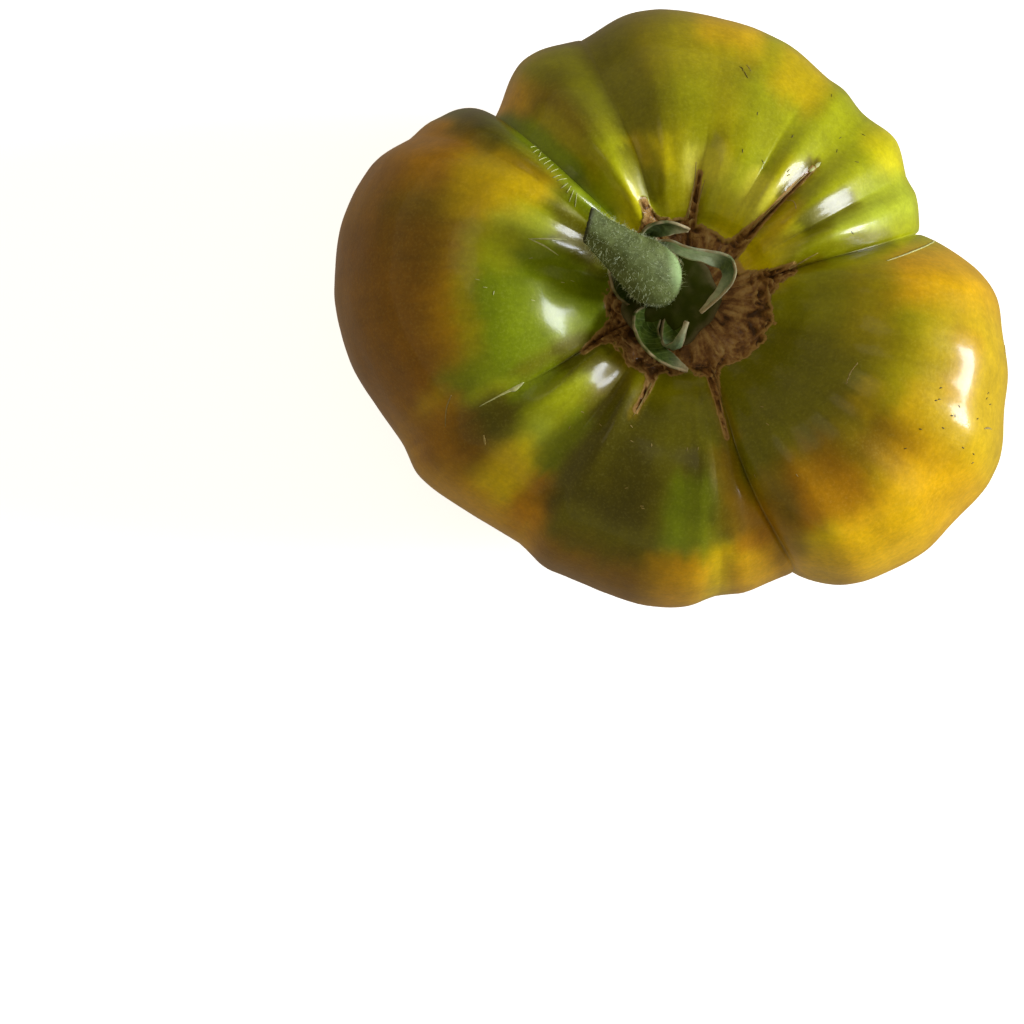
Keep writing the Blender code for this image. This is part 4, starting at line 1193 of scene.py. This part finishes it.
def stemSkin():
    # Green tomato stalk, as grown: matt, faintly ribbed and downy, grey-green, lighter on the swollen bend
    material, tree, reads = newMaterial("downy tomato stalk", ("cut", "knuckle"),
                                        {"clouds": (0.42, 4.0, 0.6), "down": (2.6, 2.0, 0.6)})
    green = addNode(tree, "ValToRGB", {"stops": [(0.3, "#464E22"), (0.7, "#66703A")]},
                    {"Fac": (reads["clouds"], "Fac")})
    body = addNode(tree, "Mix", {7: "#98B070"},
                   {0: (reads["knuckle"], "Fac"), 6: (green, "Color")})
    dotted = addNode(tree, "MapRange", {1: 0.55, 2: 0.7, 3: 0.0, 4: 0.25}, {0: (reads["down"], "Fac")})
    downy = addNode(tree, "Mix", {7: "#A9B67E"}, {0: (dotted, 0), 6: (body, 2)})
    colour = addNode(tree, "Mix", {7: "#3A3A24"}, {0: (reads["cut"], "Fac"), 6: (downy, 2)})
    bump = addNode(tree, "Bump", {"Strength": 0.5, "Distance": 0.1 * mm}, {"Height": (reads["down"], "Fac")})
    shader = addNode(tree, "BsdfPrincipled", {"Roughness": 0.68, "IOR": 1.42, "Specular IOR Level": 0.2},
                     {"Base Color": (colour, 2), "Normal": (bump, "Normal")})
    addNode(tree, "OutputMaterial", links={"Surface": (shader, "BSDF")})
    return material


def hairFinish():
    # Plant hair, as grown: thin, pale and slightly glassy
    material, tree, _ = newMaterial("plant hair")
    shader = addNode(tree, "BsdfPrincipled", {"Base Color": "#C6D0A0", "Roughness": 0.45, "IOR": 1.45})
    addNode(tree, "OutputMaterial", links={"Surface": (shader, "BSDF")})
    return material


stalk = makeStem()
stalk.data.materials.append(stemSkin())
stemHairs = makeHairs()
stemHairs.data.materials.append(hairFinish())
for part in (stalk, stemHairs):
    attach(part, "root")
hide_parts("stem")
print("stem done")


# Camera: straight down, a little to the lower left of the fruit, as the photograph was taken
camera = {"place": (-27.0, -32.5, 330.0), "focalPixels": 1830.0, "imagePixels": 1024, "sensor": 36.0}

bpy.ops.object.camera_add(location=[v * mm for v in camera["place"]], rotation=(0, 0, 0))
lens = bpy.context.object
lens.name = "camera"
lens.data.sensor_width = camera["sensor"]
lens.data.lens = camera["focalPixels"] / camera["imagePixels"] * camera["sensor"]
lens.data.clip_start = 10 * mm
bpy.context.scene.camera = lens
bpy.context.scene.view_settings.view_transform = "Standard"
print("camera done")


# Studio: a window-like softbox low on the right, a faint one high on the upper left, and a pale room
studio = {
    "target": (0.0, 0.0, 45.0),
    "softboxes": {
        # name: (azimuth, elevation, distance, width, height, watts, colour)
        "window": (0.0, 12.0, 1200.0, 440.0, 420.0, 23.0, "#E4ECFF"),
        "ceiling": (135.0, 66.0, 1100.0, 500.0, 500.0, 0.7, "#FFF8EE"),
    },
    "roomColour": "#EADFC8",
    "roomWalls": 0.66,
    "roomCeiling": 0.40,
    "floorSize": 3000,
    "floorBelow": 0.3,
    "floorColour": "#F4F2EE",
    "floorGlow": 0.85,
    "floorMirrored": 0.3,
    "floorInGloss": "#E6CCB4",
    "floorInShade": "#8E8880",
}


def addSoftbox(name, azimuth, elevation, distance, width, height, watts, colour):
    turn, rise = math.radians(azimuth), math.radians(elevation)
    towards = Vector((math.cos(turn) * math.cos(rise), math.sin(turn) * math.cos(rise), math.sin(rise)))
    place = (Vector(studio["target"]) + towards * distance) * mm
    bpy.ops.object.light_add(type="AREA", location=place)
    box = bpy.context.object
    box.name = name
    box.rotation_euler = towards.to_track_quat("Z", "Y").to_euler()
    box.data.shape = "RECTANGLE"
    box.data.size = width * mm
    box.data.size_y = height * mm
    box.data.energy = watts
    box.data.color = toLinear(colour)[:3]


for boxName, values in studio["softboxes"].items():
    addSoftbox(boxName, *values)

room = bpy.data.worlds.new("room")
room.use_nodes = True
bpy.context.scene.world = room
tree = room.node_tree
tree.nodes.clear()
way = addNode(tree, "TexCoord")
parts = addNode(tree, "SeparateXYZ", links={0: (way, "Generated")})
lift = addNode(tree, "MapRange", {1: 0.0, 2: 0.75, 3: studio["roomWalls"], 4: studio["roomCeiling"]},
               {0: (parts, "Z")})
glow = addNode(tree, "Background", {"Color": studio["roomColour"]}, {"Strength": (lift, 0)})
addNode(tree, "OutputWorld", links={"Surface": (glow, "Background")})

bpy.ops.object.select_all(action="DESELECT")
bpy.ops.mesh.primitive_plane_add(size=studio["floorSize"] * mm, location=(0, 0, -studio["floorBelow"] * mm))
floor = bpy.context.object
floor.name = "floor"
# The floor glows like a light table where the camera sees it straight on, and faintly in the skin's gloss.
# For the light that it throws on the fruit it is a darker paper.
floorPaper, tree, _ = newMaterial("pale matt paper")
rays = addNode(tree, "LightPath")
paper = addNode(tree, "BsdfDiffuse", {"Color": studio["floorColour"]})
glow = addNode(tree, "Emission", {"Color": studio["floorColour"], "Strength": studio["floorGlow"]})
seen = addNode(tree, "AddShader", links={0: (paper, 0), 1: (glow, 0)})
dim = addNode(tree, "BsdfDiffuse", {"Color": studio["floorInShade"]})
mirrored = addNode(tree, "Emission", {"Color": studio["floorInGloss"], "Strength": studio["floorMirrored"]})
others = addNode(tree, "MixShader", links={0: (rays, "Is Glossy Ray"), 1: (dim, 0), 2: (mirrored, 0)})
shader = addNode(tree, "MixShader", links={0: (rays, "Is Camera Ray"), 1: (others, 0), 2: (seen, 0)})
addNode(tree, "OutputMaterial", links={"Surface": (shader, 0)})
floor.data.materials.append(floorPaper)
print("studio done")
